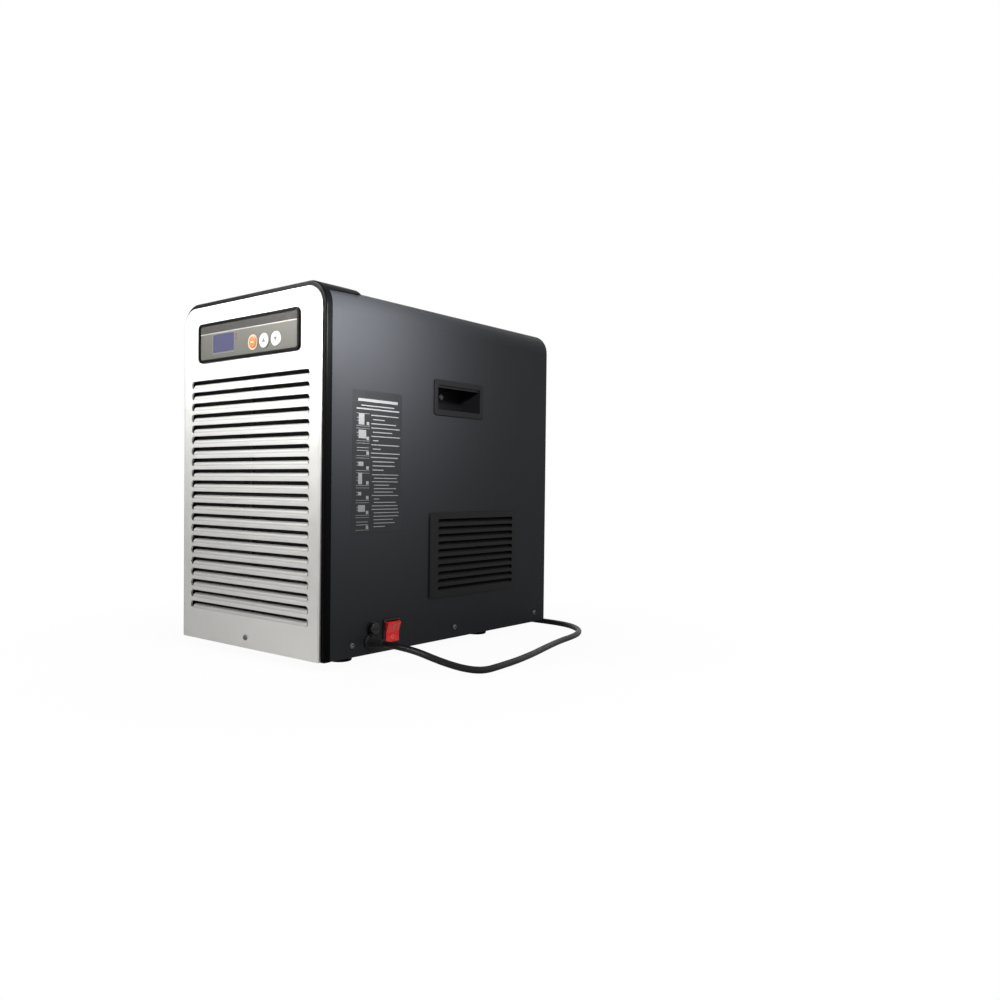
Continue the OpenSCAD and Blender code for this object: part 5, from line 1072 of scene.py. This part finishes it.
class CHILLER_OT_workings(bpy.types.Operator):
    """Finish the condenser, fan, compressor, heat exchanger and pipes inside"""

    bl_idname = "chiller.workings"
    bl_label = "Workings"

    def execute(self, context):
        fins = finish("fin_aluminium_sheet", (0.60, 0.61, 0.62), shade=0.85, mottle=20, grain=800,
                      depth=0.00003, rough=(0.3, 0.45), metallic=1.0)
        paint_nodes(fins, "condenser_fins", "capacitor")
        copper = finish("copper_drawn", colours().copper, shade=0.6, mottle=45, grain=900,
                        depth=0.00002, rough=(0.22, 0.42), metallic=1.0)
        paint_nodes(copper, "condenser_tube", "refrigerant_lines", "filter_drier")
        zinc = finish("zinc_plate", (0.50, 0.50, 0.47), shade=0.8, mottle=35, grain=700,
                      depth=0.00003, rough=(0.34, 0.5), metallic=1.0)
        paint_nodes(zinc, "condenser_frame", "fan_bracket", "vessel_saddles")
        titanium = finish("titanium_drawn", (0.42, 0.42, 0.45), shade=0.8, mottle=60, grain=900,
                          depth=0.00002, rough=(0.28, 0.4), metallic=1.0)
        paint_nodes(titanium, "exchanger_coil")
        turned = finish("turned_steel", (0.55, 0.55, 0.54), shade=0.85, mottle=120, grain=1500,
                        depth=0.00002, rough=(0.22, 0.34), metallic=1.0)
        paint_nodes(turned, "fan_shaft", "temperature_probe")
        fan = finish("fan_plastic", colours().trim, shade=0.8, mottle=30, grain=1400,
                     depth=0.00004, rough=(0.4, 0.55), edge=0.0003)
        paint_nodes(fan, "fan_rotor", "fan_shroud")
        motor = finish("motor_paint", (0.10, 0.105, 0.115), shade=0.85, mottle=30, grain=800,
                       depth=0.00006, rough=(0.4, 0.55), edge=0.0004)
        paint_nodes(motor, "fan_motor")
        enamel = finish("compressor_enamel", (0.012, 0.012, 0.013), shade=0.8, mottle=15, grain=260,
                        depth=0.00012, rough=(0.18, 0.3), coat=0.3, edge=0.0005)
        paint_nodes(enamel, "compressor")
        brass = finish("pin_brass_plate", (0.72, 0.52, 0.22), shade=0.85, mottle=200, grain=1500,
                       depth=0.00001, rough=(0.2, 0.3), metallic=1.0, edge=0.0003)
        paint_nodes(brass, "plug_pins")
        return {"FINISHED"}


# The floor: half its width, the number of its points along a side, and how far it lies below the
# feet, in metres
FLOOR_HALF = 14.0
FLOOR_POINTS = 9
FLOOR_DROP = 0.00005
FLOOR_GREY = 0.90
# Where the floor starts to run out to white and where it is white, and how white it starts
FLOOR_FADE = {"From_Min": 0.25, "From_Max": 0.6, "To_Min": 0.96, "To_Max": 1.0}
# The world's light, and what the camera sees: white up to a height, then darker towards the top
SKY_LIGHT = 0.42
CEILING_FADE = {"From_Min": 0.5, "From_Max": 0.85, "To_Min": 1.0, "To_Max": 0.3}
# Each lamp's name, place, aim, size in metres, power in watts and spread in degrees
LAMPS = (
    ("lamp_key", (-1.15, -1.5, 1.25), (0.03, -0.2, 0.95), (0.7, 0.5), 15.5, 50),
    ("lamp_side", (0.34, -0.19, 0.425), (0.143, -0.19, 0.40), (0.14, 0.035), 2.1, 130),
    ("lamp_top", (0.2, 0.3, 2.4), (0, 0.0, 0.3), (1.4, 1.4), 6, 140),
)


class CHILLER_OT_stage(bpy.types.Operator):
    """Lay the pale floor and hang the studio lamps"""

    bl_idname = "chiller.stage"
    bl_label = "Stage"

    def execute(self, context):
        corner = np.linspace(-FLOOR_HALF, FLOOR_HALF, FLOOR_POINTS)
        x, y = np.meshgrid(corner, corner, indexing="ij")
        points = np.stack([x, y, np.full_like(x, -FLOOR_DROP)], axis=-1)
        faces = grid_faces(FLOOR_POINTS, FLOOR_POINTS, False)[:, ::-1]
        floor = new_piece("floor", points, faces, smooth=False)
        floor.data.materials.append(self.floor_paper())
        self.sky(context)
        for lamp in LAMPS:
            self.lamp(context, *lamp)
        return {"FINISHED"}

    def lamp(self, context, name, place, aim, size, power, spread):
        """An oblong lamp that faces its aim and that the camera doesn't see."""
        light = bpy.data.lights.new(name, "AREA")
        light.shape = "RECTANGLE"
        light.size, light.size_y = size
        light.energy = power
        light.spread = math.radians(spread)
        lamp = bpy.data.objects.new(name, light)
        way = np.array(place, float) - np.array(aim, float)
        way = way / np.linalg.norm(way)
        side = np.cross(UP, way)
        side = side / np.linalg.norm(side)
        lamp.matrix_world = standing(place, side, np.cross(way, side), way)
        lamp.visible_camera = False
        context.scene.collection.objects.link(lamp)

    def floor_paper(self):
        """Pale paper that keeps the shadow near the object; the camera sees it run out to white."""
        material = bpy.data.materials.new("floor_paper")
        material.use_nodes = True
        tree = material.node_tree
        tree.nodes.clear()
        out = shader(tree, "OutputMaterial")
        paper = shader(tree, "BsdfDiffuse")
        paper.inputs["Color"].default_value = (FLOOR_GREY, FLOOR_GREY, FLOOR_GREY, 1)
        white = shader(tree, "Emission", Strength=1.0)
        white.inputs["Color"].default_value = (1, 1, 1, 1)
        place = shader(tree, "TexCoord")
        reach = shader(tree, "VectorMath", {"operation": "LENGTH"})
        fade = shader(tree, "MapRange", {"interpolation_type": "SMOOTHSTEP"}, **FLOOR_FADE)
        path = shader(tree, "LightPath")
        seen = shader(tree, "Math", {"operation": "MULTIPLY"})
        mix = shader(tree, "MixShader")
        tree.links.new(place.outputs["Object"], reach.inputs[0])
        tree.links.new(reach.outputs["Value"], fade.inputs["Value"])
        tree.links.new(fade.outputs["Result"], seen.inputs[0])
        tree.links.new(path.outputs["Is Camera Ray"], seen.inputs[1])
        tree.links.new(seen.outputs[0], mix.inputs[0])
        tree.links.new(paper.outputs["BSDF"], mix.inputs[1])
        tree.links.new(white.outputs["Emission"], mix.inputs[2])
        tree.links.new(mix.outputs[0], out.inputs["Surface"])
        return material

    def sky(self, context):
        """Even pale light, and white up to a darker ceiling for the camera, gloss and glass."""
        world = bpy.data.worlds.new("studio")
        world.use_nodes = True
        tree = world.node_tree
        tree.nodes.clear()
        out = shader(tree, "OutputWorld")
        light = shader(tree, "Background", Strength=SKY_LIGHT)
        light.inputs["Color"].default_value = (1, 1, 1, 1)
        white = shader(tree, "Background", Strength=1.0)
        place = shader(tree, "TexCoord")
        height = shader(tree, "SeparateXYZ")
        ceiling = shader(tree, "MapRange", {"interpolation_type": "SMOOTHSTEP"}, **CEILING_FADE)
        tree.links.new(place.outputs["Generated"], height.inputs[0])
        tree.links.new(height.outputs["Z"], ceiling.inputs["Value"])
        tree.links.new(ceiling.outputs["Result"], white.inputs["Color"])
        path = shader(tree, "LightPath")
        seen = shader(tree, "Math", {"operation": "MAXIMUM"})
        seen_more = shader(tree, "Math", {"operation": "MAXIMUM"})
        mix = shader(tree, "MixShader")
        tree.links.new(path.outputs["Is Camera Ray"], seen.inputs[0])
        tree.links.new(path.outputs["Is Glossy Ray"], seen.inputs[1])
        tree.links.new(seen.outputs[0], seen_more.inputs[0])
        tree.links.new(path.outputs["Is Transmission Ray"], seen_more.inputs[1])
        tree.links.new(seen_more.outputs[0], mix.inputs[0])
        tree.links.new(light.outputs[0], mix.inputs[1])
        tree.links.new(white.outputs[0], mix.inputs[2])
        tree.links.new(mix.outputs[0], out.inputs["Surface"])
        context.scene.world = world
        context.scene.view_settings.view_transform = "Standard"


STEPS = ("camera", "cord", "screws", "cabinet", "front", "controls", "sides", "switch",
         "connectors", "workings", "stage")


class CHILLER_PT_panel(bpy.types.Panel):
    """Lists the chiller's sizes and colours, and a button for each step"""

    bl_idname = "CHILLER_PT_panel"
    bl_label = "Aquarium Chiller"
    bl_space_type = "VIEW_3D"
    bl_region_type = "UI"
    bl_category = "Chiller"

    def draw(self, context):
        layout = self.layout
        for group in (context.scene.chiller_sizes, context.scene.chiller_colours):
            box = layout.box()
            for key in group.bl_rna.properties.keys():
                if key not in ("rna_type", "name"):
                    box.prop(group, key)
        for step in STEPS:
            layout.operator("chiller." + step)


CLASSES = (
    ChillerSizes, ChillerColours, CHILLER_OT_camera, CHILLER_OT_cord, CHILLER_OT_screws,
    CHILLER_OT_cabinet, CHILLER_OT_front, CHILLER_OT_controls, CHILLER_OT_sides,
    CHILLER_OT_switch, CHILLER_OT_connectors, CHILLER_OT_workings, CHILLER_OT_stage,
    CHILLER_PT_panel,
)


def register():
    for cls in CLASSES:
        bpy.utils.register_class(cls)
    bpy.types.Scene.chiller_sizes = bpy.props.PointerProperty(type=ChillerSizes)
    bpy.types.Scene.chiller_colours = bpy.props.PointerProperty(type=ChillerColours)


def unregister():
    del bpy.types.Scene.chiller_colours
    del bpy.types.Scene.chiller_sizes
    for cls in reversed(CLASSES):
        bpy.utils.unregister_class(cls)


def main():
    register()
    for step in STEPS:
        getattr(bpy.ops.chiller, step)()


if __name__ == "__main__":
    main()
